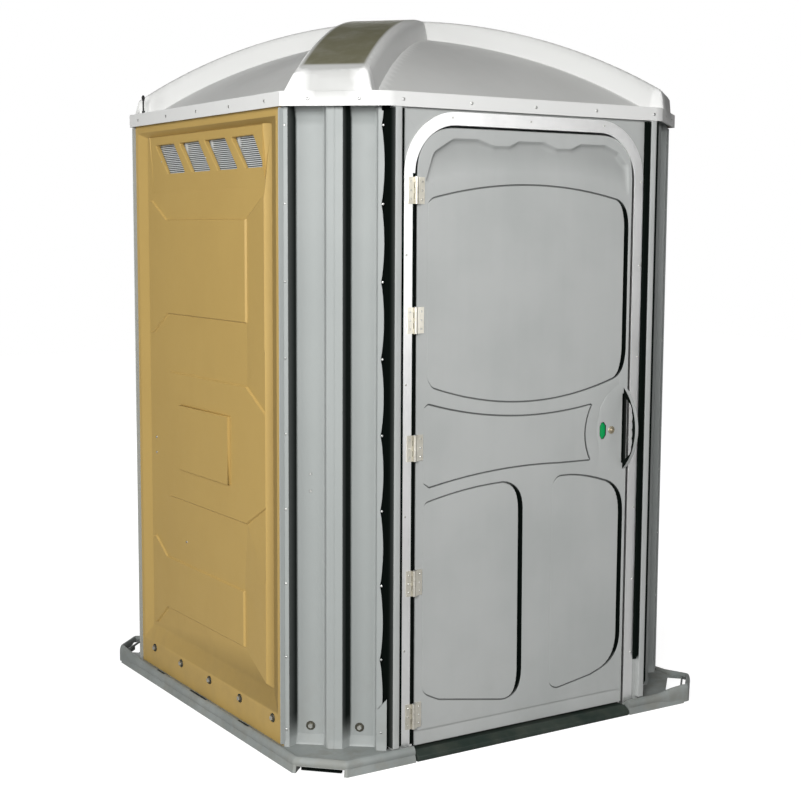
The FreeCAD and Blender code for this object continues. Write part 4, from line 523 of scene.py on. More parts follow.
def thickened(name, points, faces, back, rear_dark=0.0):
    """Closes a sheet: back(point) gives each point's partner on the far side, whose painted shade is
    rear_dark.
    """
    bm = bmesh.new()
    layer = bm.verts.layers.float.new("painted_shade")
    front = points_with_painted_shade(bm, layer, points)
    for f in faces:
        bm.faces.new([front[i] for i in f])
    rear = {}
    for i in {corner for f in faces for corner in f}:
        rear[i] = bm.verts.new(back(points[i]))
        rear[i][layer] = rear_dark
    rims = [(e.verts[:], e.link_faces[0]) for e in bm.edges if e.is_boundary]
    number = {v: i for i, v in enumerate(front)}
    for pair, face in rims:
        loop = next(l for l in face.loops if l.vert in pair and l.link_loop_next.vert in pair)
        a, b = loop.vert, loop.link_loop_next.vert
        bm.faces.new((b, a, rear[number[a]], rear[number[b]]))
    for f in faces:
        bm.faces.new([rear[i] for i in reversed(f)])
    bmesh.ops.delete(bm, geom=[v for v in bm.verts if not v.link_faces], context="VERTS")
    return mesh_object(name, bm)


def skin(bm, loops):
    """Faces over rings of points, closed at both ends."""
    for low, high in zip(loops, loops[1:]):
        for i in range(len(low)):
            j = (i + 1) % len(low)
            bm.faces.new((low[i], low[j], high[j], high[i]))
    bm.faces.new(loops[0])
    bm.faces.new(loops[-1])


def lofted(name, *runs):
    """Closed skins over runs of rings of (x, y, z, painted shade), places in metres."""
    bm = bmesh.new()
    layer = bm.verts.layers.float.new("painted_shade")
    for rings in runs:
        skin(bm, [points_with_painted_shade(bm, layer, ring) for ring in rings])
    return mesh_object(name, bm)


# Door face
DOOR_CORNER, DOOR_MIDDLE = 138, (DOOR_L + DOOR_R) / 2
ARCH_FOOT, ARCH_RISE, SCOOP_DEPTH = 1700, 44, 13.0
DEEP_STEPS = ((0, 0), (0.03, 0.04), (0.07, 0.14), (0.17, 1), (0.83, 1), (0.94, 0.12), (1, 0))


def dx(k):
    """Place across the door, from 0 at the hinges to 1 at the lock."""
    return DOOR_L + (DOOR_R - DOOR_L) * k


def on_door(points):
    return [(dx(p[0]), *p[1:]) for p in points]


def door_outline(inset):
    left, right, low, top = DOOR_L + inset, DOOR_R - inset, DOOR_LOW + inset, DOOR_TOP - inset
    turn = DOOR_CORNER - inset
    return filleted([(left, low), (right, low), (right, top, turn), (left, top, turn)], 3, steps=14)


def right_wide(wide, narrow, thin):
    """Wide where the side faces the lock, narrow where it faces the hinges, thin above and below."""
    def amount(n):
        return narrow + (wide - narrow) * max(0.0, n.x) ** 2 + (thin - narrow) * abs(n.y) ** 2
    return amount


def arch_line(u):
    """Height of the arch over the top field."""
    k = (u - dx(0.033)) / (dx(0.979) - dx(0.033))
    return ARCH_FOOT + ARCH_RISE * 4 * k * (1 - k)


def scoop_height(p):
    """Flush 20 mm over the arch, full depth 120 mm further up."""
    rise = unit((p[1] - arch_line(p[0]) - 20) / 120.0)
    return -SCOOP_DEPTH * rise * rise * (3 - 2 * rise)


def bend(a, b, c, steps=9):
    """A smooth corner from a to c drawn towards b."""
    a, b, c = (Vector((dx(p[0]), p[1])) for p in (a, b, c))
    shares = [n / steps for n in range(steps + 1)]
    return [tuple(a * (1 - k) ** 2 + b * (2 * k * (1 - k)) + c * k * k) for k in shares]


# Painted shade on the door's rounded edge, darkest at the outer edge
face = Face(door_outline(0), -5.0, 1.0)
face.loop(door_outline(1.2), -1.4, 0.35)
face.loop(door_outline(3.6), 0.0)

top_field = [*on_door([(0.045, 1161), (0.07, 1131), (0.925, 1126, 58)]),
             *bend((0.925, 1126), (0.983, 1143), (0.986, 1225))[1:],
             *bend((0.986, 1615), (0.984, 1690), (0.925, 1706)), *on_door([(0.065, 1700, 42), (0.045, 1684)])]
lock_field = on_door([(0.033, 845), (0.06, 829), (0.657, 866, -15), (0.82, 865), (0.82, 1047, -25),
                      (0.812, 1053), (0.052, 1089, -36), (0.033, 1075)])
left_field = [*on_door([(0.033, 196), (0.11, 166)]), *bend((0.40, 126), (0.492, 124), (0.494, 215)),
              *bend((0.490, 735), (0.488, 818), (0.395, 829)), *on_door([(0.045, 790, 8), (0.033, 774)])]
right_field = [*on_door([(0.626, 146), (0.66, 126), (0.838, 150)]),
               *bend((0.88, 161), (0.985, 190), (0.986, 280)), *bend((0.986, 690), (0.984, 782), (0.88, 803)),
               *on_door([(0.715, 830, 4), (0.653, 830), (0.626, 802)])]
BROAD = (46, right_wide(21, 2.0, 6.0), right_wide(17, 0.5, 4.2))
SLIM = (14, right_wide(7, 1.5, 6), right_wide(9, 0.3, 4.4))
for corners, (radius, width, depth) in ((top_field, BROAD), (lock_field, SLIM), (left_field, BROAD),
                                        (right_field, BROAD)):
    line = counter_clockwise(filleted(bowed(corners), radius, steps=6))
    face.groove(line, width, depth, DEEP_STEPS)

# Scoop below the door's notched top edge, deepest at the edge and flush at the arch
notch = on_door([(0.030, 1722), (0.033, 1745), (0.068, 1833), (0.155, 1875), (0.266, 1875), (0.335, 1858),
                 (0.409, 1858), (0.444, 1875), (0.568, 1875), (0.622, 1858), (0.696, 1858), (0.738, 1875),
                 (0.864, 1875), (0.929, 1853), (0.979, 1813), (0.982, 1722)])
notch = filleted(notch, 34, closed=False, steps=5)
along_arch = [dx(0.982 - 0.952 * k / 20) for k in range(21)]
scoop = counter_clockwise(notch + [(u, arch_line(u) + 16) for u in along_arch])
for inset, share in ((0, 0.0), (2.5, 0.12), (7, 0.62), (13, 0.9), (22, 1.0)):
    face.loop(moved_in(scoop, inset), lambda p: scoop_height(p) * share)


def deep_in(p, ring, gap):
    """True if p is inside the ring and more than gap from it."""
    near = 1e9
    for a, b in zip(ring, ring[1:] + ring[:1]):
        d = Vector(b) - Vector(a)
        s = unit((Vector(p) - Vector(a)).dot(d) / max(d.dot(d), 1e-9))
        near = min(near, (Vector(a) + d * s - Vector(p)).length)
    return near > gap and inside(p, ring)


rows = [(dx(0.06 + 0.02 * i), z) for i in range(45) for z in range(1722, 1860, 12)]
face.dots([p for p in rows if deep_in(p, scoop, 26)], scoop_height)
# Painted shade in the scoop, darker where it is deeper
for k, (p, h) in enumerate(zip(face.points, face.heights)):
    if 1730 < p.y < 1880 and -14 < h < -2 and abs(p.x - DOOR_MIDDLE) < 400:
        face.dark[k] = max(face.dark[k], 0.20 * min(1.0, -h / SCOOP_DEPTH))

# Crease over the bottom rail, and the faint one round the lock
for z, h in ((88, 0.0), (84, -0.5), (81, -3.4), (77, -3.0), (66, -1.6)):
    face.loop([(DOOR_L + 6, z), (dx(0.07), z), (dx(0.93), z), (DOOR_R - 6, z)],
              lambda p: h if dx(0.02) < p[0] < dx(0.98) else h * 0.3, closed=False)
lock_curve = on_door([(0.955, 1108), (0.92, 1092), (0.885, 1068), (0.862, 1038), (0.850, 1000), (0.846, 960),
                      (0.850, 925), (0.862, 895)])
for side, h in ((-3.5, 0.0), (-0.5, -1.5), (3.0, 0.0)):
    shifted = []
    for i, p in enumerate(lock_curve):
        a, b = lock_curve[max(i - 1, 0)], lock_curve[min(i + 1, len(lock_curve) - 1)]
        d = (Vector(b) - Vector(a)).normalized()
        shifted.append((p[0] - d.y * side, p[1] + d.x * side))
    face.loop(shifted, h, closed=False)


# Openings for the indicator, the spindle and the hand, with painted shade on the window's edge and in the
# hand recess
def circle(radius, count):
    """Points round the spindle."""
    angles = [a * math.tau / count for a in range(count)]
    return [(SPINDLE_X + radius * math.cos(a), SPINDLE_Z + radius * math.sin(a)) for a in angles]


window = [(301, 945), (308, 933), (317, 933), (327, 945), (327, 975), (317, 987), (308, 987), (301, 975)]
face.loop(moved_in(window, -1.2), 0.0)
face.hole(window, -1.2, 0.8)
face.hole(circle(6.6, 16))
recess = filleted([(393, 846), (413.5, 850), (413.5, 1072), (393, 1080)], 6, steps=4)
for inset, h, dark in ((0, 0.0, 0.0), (0.8, -1.4, 0.9), (1.8, -14.0, 1.0)):
    face.loop(moved_in(recess, inset), h, dark)

# Room behind the face in which the indicator turns, kept clear of the hand recess
POCKET, POCKET_END = 51.0, 385
FACE_BACK, POCKET_BACK = 0.7321, 0.7448
for more in (0.0, 1.6):
    face.loop([(min(x, POCKET_END + more), z) for x, z in circle(POCKET + more, 48)], 0.0)


def door_rear(p):
    x, z = p[0] / MM, p[2] / MM
    pocket = math.hypot(x - SPINDLE_X, z - SPINDLE_Z) <= POCKET + 0.1 and x <= POCKET_END + 0.1
    return (p[0], -POCKET_BACK if pocket else -FACE_BACK, p[2])


points, faces = face.mesh()
points = [(u * MM, (DOOR_Y - h) * MM, v * MM, dark) for u, v, h, dark in points]
# The door's sides and back are painted with shade
settle(thickened("door_face", points, faces, door_rear, 0.9), "door_outer_shell")


# Side panels: a sunk field with raised blocks, a leaning vent face and grooved borders
FIELD, LEAN = -15.0, 13.0
VENT_END, VENT_LOW, VENT_TOP = 424, 1727, 1915
BORDER_BACK, FIELD_BACK, VENT_BACK = 736.0, 714.0, 729.5


def vent_slope(p):
    """Height of the vent face, flush with the field at its foot."""
    return FIELD + LEAN * (p[1] - VENT_LOW) / (VENT_TOP - VENT_LOW)


def side_face():
    """Face in (along, up) with +u towards the back; heights above the panel's outer plane are positive."""
    f = Face([(-WALL_END, WALL_LOW), (WALL_END, WALL_LOW), (WALL_END, WALL_TOP), (-WALL_END, WALL_TOP)])
    for inset, low, high, h in ((-3, -54, -3, 0.0), (0.5, -48, 0.5, -0.5), (4, -40, 1.6, -1.6),
                                (46, 8, 16, FIELD + 1.4), (50, 16, 18, FIELD + 0.2), (54, 20, 20, FIELD)):
        front, back, foot, head = -508 + inset, 525 - inset, 172 + low, 1934 - high
        ring = filleted([(front, foot), (back, foot), (back, head), (front, head)], 4, steps=3)
        # Painted shade on the front side of the sunk field's edge
        f.loop(ring, h, lambda p: 0.28 if p[0] < -430 and h < -1 else 0.0)
    # two upright grooves in the front border
    for u, width, depth in ((-524, 5.0, 5.0), (-514, 2.2, 1.6)):
        ring = [(u - width / 2, 168), (u + width / 2, 174), (u + width / 2, 1950), (u - width / 2, 1950)]
        f.groove(ring, lambda n: width * 0.5 * abs(n.x) + 0.6 * abs(n.y), depth,
                 ((0, 0), (0.2, 0.15), (0.75, 1)))

    def block(points, rise, slope=5.2, base=FIELD, radius=5):
        """A raised or sunk block with soft edges on the field."""
        ring = counter_clockwise(filleted(points, radius, steps=3))
        for out, share in ((0, 0.0), (0.9, 0.08), (slope - 0.9, 0.92), (slope, 1.0)):
            f.loop(moved_in(ring, out), base + rise * share)
    block([(313, 1312), (-288, 1312), (-288, 1636), (313, 1636), (440, 1706), (440, 1236)], 6)
    block([(304, 678), (-281, 678), (-420, 752), (-420, 1040), (-285, 1117), (304, 1117)], 6)
    block([(340, 275), (-262, 275), (-262, 462), (340, 462), (440, 524), (440, 196)], 6)
    block([(212, 785), (-174, 785), (-174, 1012), (212, 1012)], -1.8, 4.0, FIELD + 6, 3)
    for low, high in ((205, 527), (1236, 1700)):
        ring = [(-433, low), (-430, low), (-430, high), (-433, high)]
        f.groove(ring, lambda n: 1.2 * abs(n.x) + 0.4 * abs(n.y), 1.2, ((0, 0), (0.8, 1)))
    # vent face, leaning out towards its top, with four slanted windows
    ends = [(-VENT_END, VENT_LOW), (VENT_END, VENT_LOW), (VENT_END, VENT_TOP), (-VENT_END, VENT_TOP)]
    f.loop(moved_in(ends, -1.5), FIELD)
    f.loop(ends, lambda p: vent_slope(p) if p[1] > VENT_LOW else FIELD + 0.8)
    f.loop(moved_in(ends, 2.0), vent_slope)
    for k in range(4):
        back = 383 - 195 * k
        ring = [(back, 1886), (back - 88, 1789), (back - 226, 1789), (back - 150, 1886)]
        ring = counter_clockwise(filleted(ring, 5, steps=3))
        f.loop(moved_in(ring, -4.5), vent_slope)
        f.loop(moved_in(ring, -1.0), lambda p: vent_slope(p) - 1.0)
        f.hole(ring, lambda p: vent_slope(p) - 3.0)
    return f.mesh()


side_points, side_faces = side_face()
for node, sx in (("side_panel_left", -1), ("side_panel_right", 1)):
    sheet = [(sx * (WALL_OUT + h) * MM, u * MM, v * MM, dark) for u, v, h, dark in side_points]

    def behind(p):
        inner = FIELD_BACK if abs(p[1]) < 0.5265 else BORDER_BACK
        if abs(p[1]) < 0.423 and 1.7735 < p[2] < 1.8995:
            inner = VENT_BACK
        return (sx * inner * MM, p[1], p[2])
    settle(thickened(node + "_moulding", sheet, side_faces, behind), node)


# Corner panels: two troughs and a rib, with a scalloped edge over the gap beside the front and back walls
CORNER_TURN = math.radians(38)
TROUGH, FLARE, SCALLOP = 45, 4.0, 9.0
FOOT_TOP, FOOT_REACH = 165, 22.0
SEAM_LOW, SEAM_STEP = 92.0, 226.5


def at_corner(sx, sy, s, depth, z):
    """Point at s along the slanted sheet and depth behind it."""
    return (sx * (WALL_OUT - s * math.cos(CORNER_TURN) - depth * math.sin(CORNER_TURN)) * MM,
            sy * (WALL_END + s * math.sin(CORNER_TURN) - depth * math.cos(CORNER_TURN)) * MM, z * MM)


def corner_profile(z, reach):
    """Points (along, depth) round one section of the sheet at height z; reach is where its free edge ends."""
    low, high = unit((z - 40) / 26.0), unit((1962 - z) / 30.0)
    deep = TROUGH * (0.55 + 0.45 * low) * (0.35 + 0.65 * high)
    flare = FLARE * (1 - unit((z - WALL_LOW) / 22.0))
    wave = abs(math.sin(math.pi * (z - SEAM_LOW) / SEAM_STEP))
    end = reach + (SCALLOP * wave ** 0.75 if 170 < z < 1945 else (0.0 if z > FOOT_TOP else FOOT_REACH))
    outer = [(0, 0, 1), (4, -flare, 1), (18, -flare, 2), (35, deep, 8), (120, deep, 9), (128, 9, 4),
             (131, 1.5, 1), (137, -flare, 2), (154, -flare, 1), (155, 0.9 - flare, 1), (157, 0.9 - flare, 1),
             (158, -flare, 1), (180, -flare, 3), (189.5, deep * 0.42, 1), (199, deep, 8), (276, deep, 9),
             (282, 2, 2), (284, -flare, 1.5), (end, -flare, 1)]
    outline = filleted([(0, 3), *outer, (end, 3 - flare)], 1, closed=False, steps=4, even=True)
    inner = [(end - 0.6, 12), (318, 12), (318, 20), (288.4, 20), (288.2, 22), (285, 51), (200, 51), (177, 6),
             (139, 6), (131, 14), (125, 51), (34, 51), (14, 6), (0, 6)]
    return outline, inner


# Heights of the sections: the foot, twelve to each scallop, and the head
levels = [WALL_LOW, 41, 45, 52, 60, 66, 80, 110, 135, 155, FOOT_TOP - 0.5, FOOT_TOP + 0.5, 171]
levels += [SEAM_LOW + SEAM_STEP * k / 12 for k in range(5, 98)]
levels = sorted({round(z, 2) for z in levels if z < 1944} | {1944.0, 1946.0, 1954.0, 1962.0, WALL_TOP})


def corner_dark(s, z, walls):
    """Darkness of the trough walls that lie in shade."""
    near = max(unit((s - start + 2) / 3.0) * unit((end + 6 - s) / 6.0) for start, end in walls)
    return near * unit((z - 60) / 60.0)


def corner_panel(name, sx, sy, walls):
    """One panel with its upright fin at the side wall; walls are the stretches that lie in shade."""
    rings = []
    for z in levels:
        outline, inner = corner_profile(z, 293 if sy < 0 else 303)
        rise = max(0.0, 1 - abs(z - FOOT_TOP) / 80)

        def spot(s, depth, dark):
            return (*at_corner(sx, sy, s, depth, z + rise * max(0.0, s - 290) * 1.3), dark)
        # Painted shade on the trough walls that lie in shade, on the free edge and on the back of the sheet
        ring = [spot(s, max(depth, -4.0), corner_dark(s, z, walls)) for s, depth in outline[:-1]]
        ring += [spot(s, max(depth, -4.0), 1.0) for s, depth in outline[-1:]]
        rings.append(ring + [spot(s, depth, 1.0 if s > 287 else 0.6) for s, depth in inner])
    far = 762 if sx < 0 else 753
    fin = [(747, 545.3), (far - 1, 545.3), (far, 546.2), (far, 547.8), (far - 1, 548.7), (747, 548.7)]
    stands = [[(sx * (x - cut) * MM, sy * y * MM, z * MM, 0.0) for x, y in fin]
              for z, cut in ((47, 2.0), (49, 0.0), (1000, 0.0), (1952, 0.0), (1954, 2.0))]
    settle(lofted(name + "_sheet", rings, stands), name, 30)


SHADED_LEFT, SHADED_RIGHT = ((18.5, 33), (180.5, 197)), ((123, 131), (191, 203), (277, 283))
corner_panel("corner_front_left", -1, -1, SHADED_LEFT)
corner_panel("corner_front_right", 1, -1, SHADED_RIGHT)
corner_panel("corner_back_right", 1, 1, SHADED_LEFT)
corner_panel("corner_back_left", -1, 1, SHADED_RIGHT)

# Upright ribs of the front panel beside the frame: (across, out, painted shade), painted in shade towards
# frame and corner
RIB = [(475.6, 750.2, 1.0), (475.6, 758, 1.0), (475.7, 764, 1.0), (475.9, 766.6, 0.7), (476.9, 768.7, 0.1),
       (479, 769.5, 0.0), (481.6, 769.5, 0.0), (482.3, 768.7, 0.25), (483.0, 769.5, 0.0), (488.8, 769.5, 0.0),
       (489.5, 768.8, 0.2), (490.2, 769.5, 0.0), (493.5, 769.5, 0.0), (496.4, 768.4, 0.2), (497.4, 765, 0.8),
       (497.5, 758, 0.9), (497.5, 750, 0.95), (497.5, 742, 1.0), (497.5, 735, 1.0), (488, 735, 1.0),
       (480, 745, 1.0)]
RIB_MIDDLE, RIB_HALF = 486.5, 12
RIB_FOOT, RIB_HEAD = 47.8, 1955.4
for label, sx in (("left", -1), ("right", 1)):
    rings = []
    for z in (RIB_FOOT, 49.5, 60, 120, 176, 184, 192, 200, 1000, 1935, 1953.5, RIB_HEAD):
        shrink = 1.6 if z in (RIB_FOOT, RIB_HEAD) else 0.0
        slim, low = 1 - shrink / RIB_HALF, unit((z - 176) / 16.0)
        rings.append([(sx * (RIB_MIDDLE + (x - RIB_MIDDLE) * slim) * MM, -(y - shrink) * MM, z * MM,
                       dark * (low if x < 477 else 1.0)) for x, y, dark in RIB])
    dress(lofted("front_rib_" + label, rings), "front_panel")


# Open ground under the two corner loops of the skid
def cut_box(piece, place):
    """Takes a box out of a piece; place gives each corner of a cube of size 1 its spot."""
    bm = bmesh.new()
    bmesh.ops.create_cube(bm, size=1.0)
    for vert in bm.verts:
        vert.co = place(*vert.co)
    tool = mesh_object("opening", bm)
    opening = piece.modifiers.new("opening", "BOOLEAN")
    opening.operation, opening.solver, opening.object = "DIFFERENCE", "EXACT", tool
    bake_modifiers(piece)
    bpy.data.objects.remove(tool)


SLANT = round(1 / ROOT_2, 5)
base = bpy.data.objects["base_skid_soft"]
for k in (1, -1):
    def under_loop(x, y, z):
        radial, along = 0.981 + 0.075 * x, 0.037 + 0.231 * y
        return (k * radial * SLANT + along * SLANT, -k * radial * SLANT + along * SLANT, 0.0163 + 0.0431 * z)

    def beside_loop(x, y, z):
        across, along = 0.764 + 0.071 * x, -0.6227 + 0.161 * y
        return (*((across, along) if k == 1 else (along, across)), 0.0143 + 0.0409 * z)
    cut_box(base, under_loop)
    cut_box(base, beside_loop)
even_shading(base, 32)

# Shaded slots under the two plain cut corners
for k in (1, -1):
    slot = [(-62, 5), (-62, 21), (-58, 24), (58, 24), (62, 21), (62, 5)]
    rings = [[(k * (t - reach) * SLANT * MM, k * (-t - reach) * SLANT * MM, z * MM, 1.0) for t, z in slot]
             for reach in (999, 1010, 1011)]
    dress(lofted("skid_slot_shade_" + ("front" if k == 1 else "back"), rings), "base_skid")

# Rounded rail on the skid, raised over the two corner loops, from one end of the sill round to the other
SIDE, LOOP, PLAIN, SILL_END = SKID_OUT, SKID_OUT - 93.5, SKID_OUT - 120, 425.5
LOOP_MIDDLE = (SIDE + PLAIN) / 2
skid_path = filleted([(SILL_END, -SIDE), (LOOP, -SIDE, 26), (SIDE, -LOOP, 26), (SIDE, PLAIN), (PLAIN, SIDE),
                      (-LOOP, SIDE, 26), (-SIDE, LOOP, 26), (-SIDE, -PLAIN), (-PLAIN, -SIDE),
                      (-SILL_END, -SIDE)], 30, closed=False, steps=8)
# Drains as (place along the side, half its width); the rail as (in from the edge, up)
DRAINS = ((340, 30), (30, 62), (-310, 36))
RAIL = [(6.5, 20.8), (4.9, 26), (4.5, 31), (5.8, 37), (9.0, 42), (13.2, 45.4), (17.8, 46.6),
        (22, 45.8), (25, 42.6), (26.4, 38.3), (21, 30), (13, 24)]


def between(points, marks):
    """The path with points added wherever its y passes a mark, and along its long runs."""
    out = []
    for a, b in zip(points, points[1:]):
        shares = {k / 12 for k in range(12)} if math.dist(a, b) > 200 else {0.0}
        if abs(a[1] - b[1]) > 200:
            shares |= {(m - a[1]) / (b[1] - a[1]) for m in marks}
        out += [tuple(Vector(a).lerp(Vector(b), k)) for k in sorted(shares) if 0 <= k < 1]
    return out + [points[-1]]


marks = [y + k * half + d for y, half in DRAINS for k in (-1, 1) for d in (-2, 2)]
skid_path = between(skid_path, marks)
rings = []
for i, (x, y) in enumerate(skid_path):
    a, b = skid_path[max(i - 1, 0)], skid_path[min(i + 1, len(skid_path) - 1)]
    along = (Vector(b) - Vector(a)).normalized()
    outward = Vector((along.y, -along.x))
    loop_near = 0.0
    if x * y < 0:
        loop_near = unit(1 - (math.hypot(abs(x) - LOOP_MIDDLE, abs(y) - LOOP_MIDDLE) - 85) / 110)
    loop_near = loop_near * loop_near * (3 - 2 * loop_near)
    drain = any(abs(y - m) <= half for m, half in DRAINS) and abs(x) > 780
    far = unit(((x + y) / ROOT_2 + 10) / 60)
    ring = []
    for inward, z in RAIL:
        inward *= 1 - 0.30 * loop_near
        if z < 31:
            z += loop_near * (13.0 * far - 0.9 * z * (1 - far))
        else:
            z += 15.0 * loop_near * (z - 20.8) / 25.8
        # Painted shade on the rail's inner side where it passes a drain
        dark = 1.0 if drain and inward > 17 else 0.0
        ring.append(((x - outward.x * inward) * MM, (y - outward.y * inward) * MM, z * MM, dark))
    rings.append(ring)
dress(lofted("skid_rail", rings), "base_skid")


# Pull handle with painted shade on its inner side, and the brass rose round the lock's spindle
handle = softened("pull_handle", 0.0016)
dark = handle.data.attributes.new("painted_shade", "FLOAT", "POINT")
for vert in handle.data.vertices:
    dark.data[vert.index].value = unit((-vert.normal.x - 0.35) / 0.3)


def spun(name, profile, middle, steps=28):
    """A turned piece on an axis along Y: profile of (radius, how far it stands out)."""
    bm = bmesh.new()
    angles = [2 * math.pi * k / steps for k in range(steps)]
    skin(bm, [[bm.verts.new(((middle[0] + r * math.cos(a)) * MM, (middle[1] - h) * MM,
                             (middle[2] + r * math.sin(a)) * MM)) for a in angles] for r, h in profile])
    return mesh_object(name, bm)


ROSE = [(12.6, -0.2), (12.8, 0.7), (12.0, 1.7), (9.5, 2.2), (7.6, 2.3), (7.0, 1.5), (6.3, 1.5), (6.1, 3.4),
        (5.0, 4.6), (2.6, 5.3), (0.5, 5.4)]
rose = spun("lock_rose", ROSE, (SPINDLE_X, DOOR_Y, SPINDLE_Z))
dress(rose, "lock_spindle", brass, angle=35)


# Dark strips painted in full shade, standing for the shade in the joints beside the ribs and along the
# frame's hinge side
def painted_shade_strip(name, node, outline, levels, sx=1):
    """An upright strip painted in full shade; levels are (height, how far its front is drawn back)."""
    rings = [[(sx * x * MM, -(y - cut) * MM, z * MM, 1.0) for x, y in outline] for z, cut in levels]
    dress(lofted(name, rings), node, slot="door_seal")


WALL_RUN = ((700, 0), (1300, 0), (1951, 0), (1953, 1.5))
LEFT_FOOT, RIGHT_FOOT, CORNER_FOOT = ((49, 1.5), (52, 0)), ((178, 9), (196, 0)), ((84, 9), (100, 0))
for label, sx, out, foot in (("left", -1, 757, LEFT_FOOT), ("right", 1, 764, RIGHT_FOOT)):
    joint = [(460.0, 751), (460.0, out - 1.5), (461.5, out), (474.0, out), (475.4, out - 1.5), (475.4, 751)]
    painted_shade_strip("frame_joint_shade_" + label, "front_panel", joint, foot + WALL_RUN, sx)
joint = [(497.7, 740), (497.7, 763), (499, 765), (509, 765), (510.5, 763), (510.5, 740)]
painted_shade_strip("corner_joint_shade_right", "front_panel", joint, CORNER_FOOT + WALL_RUN)
lip = [(429.2, 754.2), (428.6, 754.8), (422.0, 754.8), (421.3, 754.2), (421.3, 750.5), (429.2, 750.5)]
GAP_SHADE_RUN = ((48, 0.4), (49, 0), (700, 0), (1300, 0), (1767, 0), (1768, 0.4))
painted_shade_strip("frame_lip", "door_frame", lip, GAP_SHADE_RUN, -1)


# Heads of rivets and bolts, and washers, each set where a node has one
def head_spots(node):
    """Top point, outward axis, radius and height of each separate head of a node."""
    bm = bmesh.new()
    bm.from_mesh(nodes[node].data)
    bmesh.ops.remove_doubles(bm, verts=bm.verts, dist=1e-5)
    seen, spots = set(), []
    for first in bm.verts:
        if first in seen:
            continue
        island = [first]
        seen.add(first)
        for vert in island:
            for edge in vert.link_edges:
                other = edge.other_vert(vert)
                if other not in seen:
                    seen.add(other)
                    island.append(other)
        areas = {}
        for f in dict.fromkeys(f for vert in island for f in vert.link_faces):
            key = tuple(round(c, 2) for c in f.normal)
            areas[key] = areas.get(key, 0.0) + f.calc_area()
        axis = Vector(max(areas, key=areas.get)).normalized()
        middle = sum((v.co for v in island), Vector()) / len(island)
        if axis.dot(Vector((middle.x, middle.y, 0))) < 0:
            axis.negate()
        heights = [v.co.dot(axis) for v in island]
        reach = max(((v.co - middle) - axis * (v.co - middle).dot(axis)).length for v in island)
        top = middle + axis * (max(heights) - middle.dot(axis))
        spots.append((top, axis, reach, max(heights) - min(heights)))
    bm.free()
    return sorted(spots, key=lambda spot: tuple(round(c, 4) for c in spot[0]))


def heads_group(name, build):
    """Geometry nodes that put one head on every point, turned to the point's aim."""
    tree = bpy.data.node_groups.new(name, "GeometryNodeTree")
    sockets = tree.interface
    sockets.new_socket("Geometry", in_out="INPUT", socket_type="NodeSocketGeometry")
    for label, size in (("Radius", 0.006), ("Rise", 0.002)):
        sockets.new_socket(label, in_out="INPUT", socket_type="NodeSocketFloat").default_value = size
    sockets.new_socket("Finish", in_out="INPUT", socket_type="NodeSocketMaterial")
    sockets.new_socket("Geometry", in_out="OUTPUT", socket_type="NodeSocketGeometry")
    w = Wiring(tree)
    i = w.add("NodeGroupInput").outputs
    aim = w.add("GeometryNodeInputNamedAttribute", {"Name": "aim"}, data_type="FLOAT_VECTOR")
    turn = w.add("FunctionNodeAlignRotationToVector", {"Vector": aim.outputs["Attribute"]}, axis="Z")
    put = w.add("GeometryNodeInstanceOnPoints", {"Points": i["Geometry"], "Instance": build(w, i),
                                                 "Rotation": turn.outputs["Rotation"]})
    real = w.add("GeometryNodeRealizeInstances", {"Geometry": put.outputs["Instances"]})
    paint = w.add("GeometryNodeSetMaterial", {"Geometry": real.outputs["Geometry"], "Material": i["Finish"]})
    w.add("NodeGroupOutput", {"Geometry": paint.outputs["Geometry"]})
    return tree


def moved(w, mesh, how, x=0.0, y=0.0, z=0.0):
    """A mesh with a Translation or Scale."""
    by = w.add("ShaderNodeCombineXYZ", {"X": x, "Y": y, "Z": z}).outputs[0]
    return w.add("GeometryNodeTransform", {"Geometry": mesh, how: by}).outputs["Geometry"]


def cone(w, sides, low, high, depth):
    return w.add("GeometryNodeMeshCone", {"Vertices": sides, "Radius Bottom": low, "Radius Top": high,
                                          "Depth": depth}).outputs["Mesh"]


def joined(w, *parts):
    node = w.add("GeometryNodeJoinGeometry")
    for item in parts:
        w.join(item, node.inputs["Geometry"])
    return node.outputs["Geometry"]


def dome(w, i):
    """A flattened ball on a short stub."""
    radius, rise = i["Radius"], i["Rise"]
    ball = w.add("GeometryNodeMeshUVSphere", {"Segments": 18, "Rings": 9, "Radius": 1.0}).outputs["Mesh"]
    flat = moved(w, ball, "Scale", radius, radius, w.times(rise, 0.92))
    stub = w.times(radius, 0.30)
    return joined(w, flat, cone(w, 12, stub, w.times(stub, 0.8), rise))


def chamfered(sides, straight, narrow):
    """A prism that is straight over a share of its height and narrows above it."""
    def build(w, i):
        radius, low = i["Radius"], w.times(i["Rise"], straight)
        edge = w.times(radius, narrow)
        upper = cone(w, sides, radius, edge, w.math("SUBTRACT", i["Rise"], low))
        return joined(w, cone(w, sides, radius, radius, low), moved(w, upper, "Translation", z=low))
    return build


domes = heads_group("domed_heads", dome)
nuts = heads_group("hexagon_nuts", chamfered(6, 0.80, 0.86))
discs = heads_group("round_washers", chamfered(30, 0.70, 0.94))
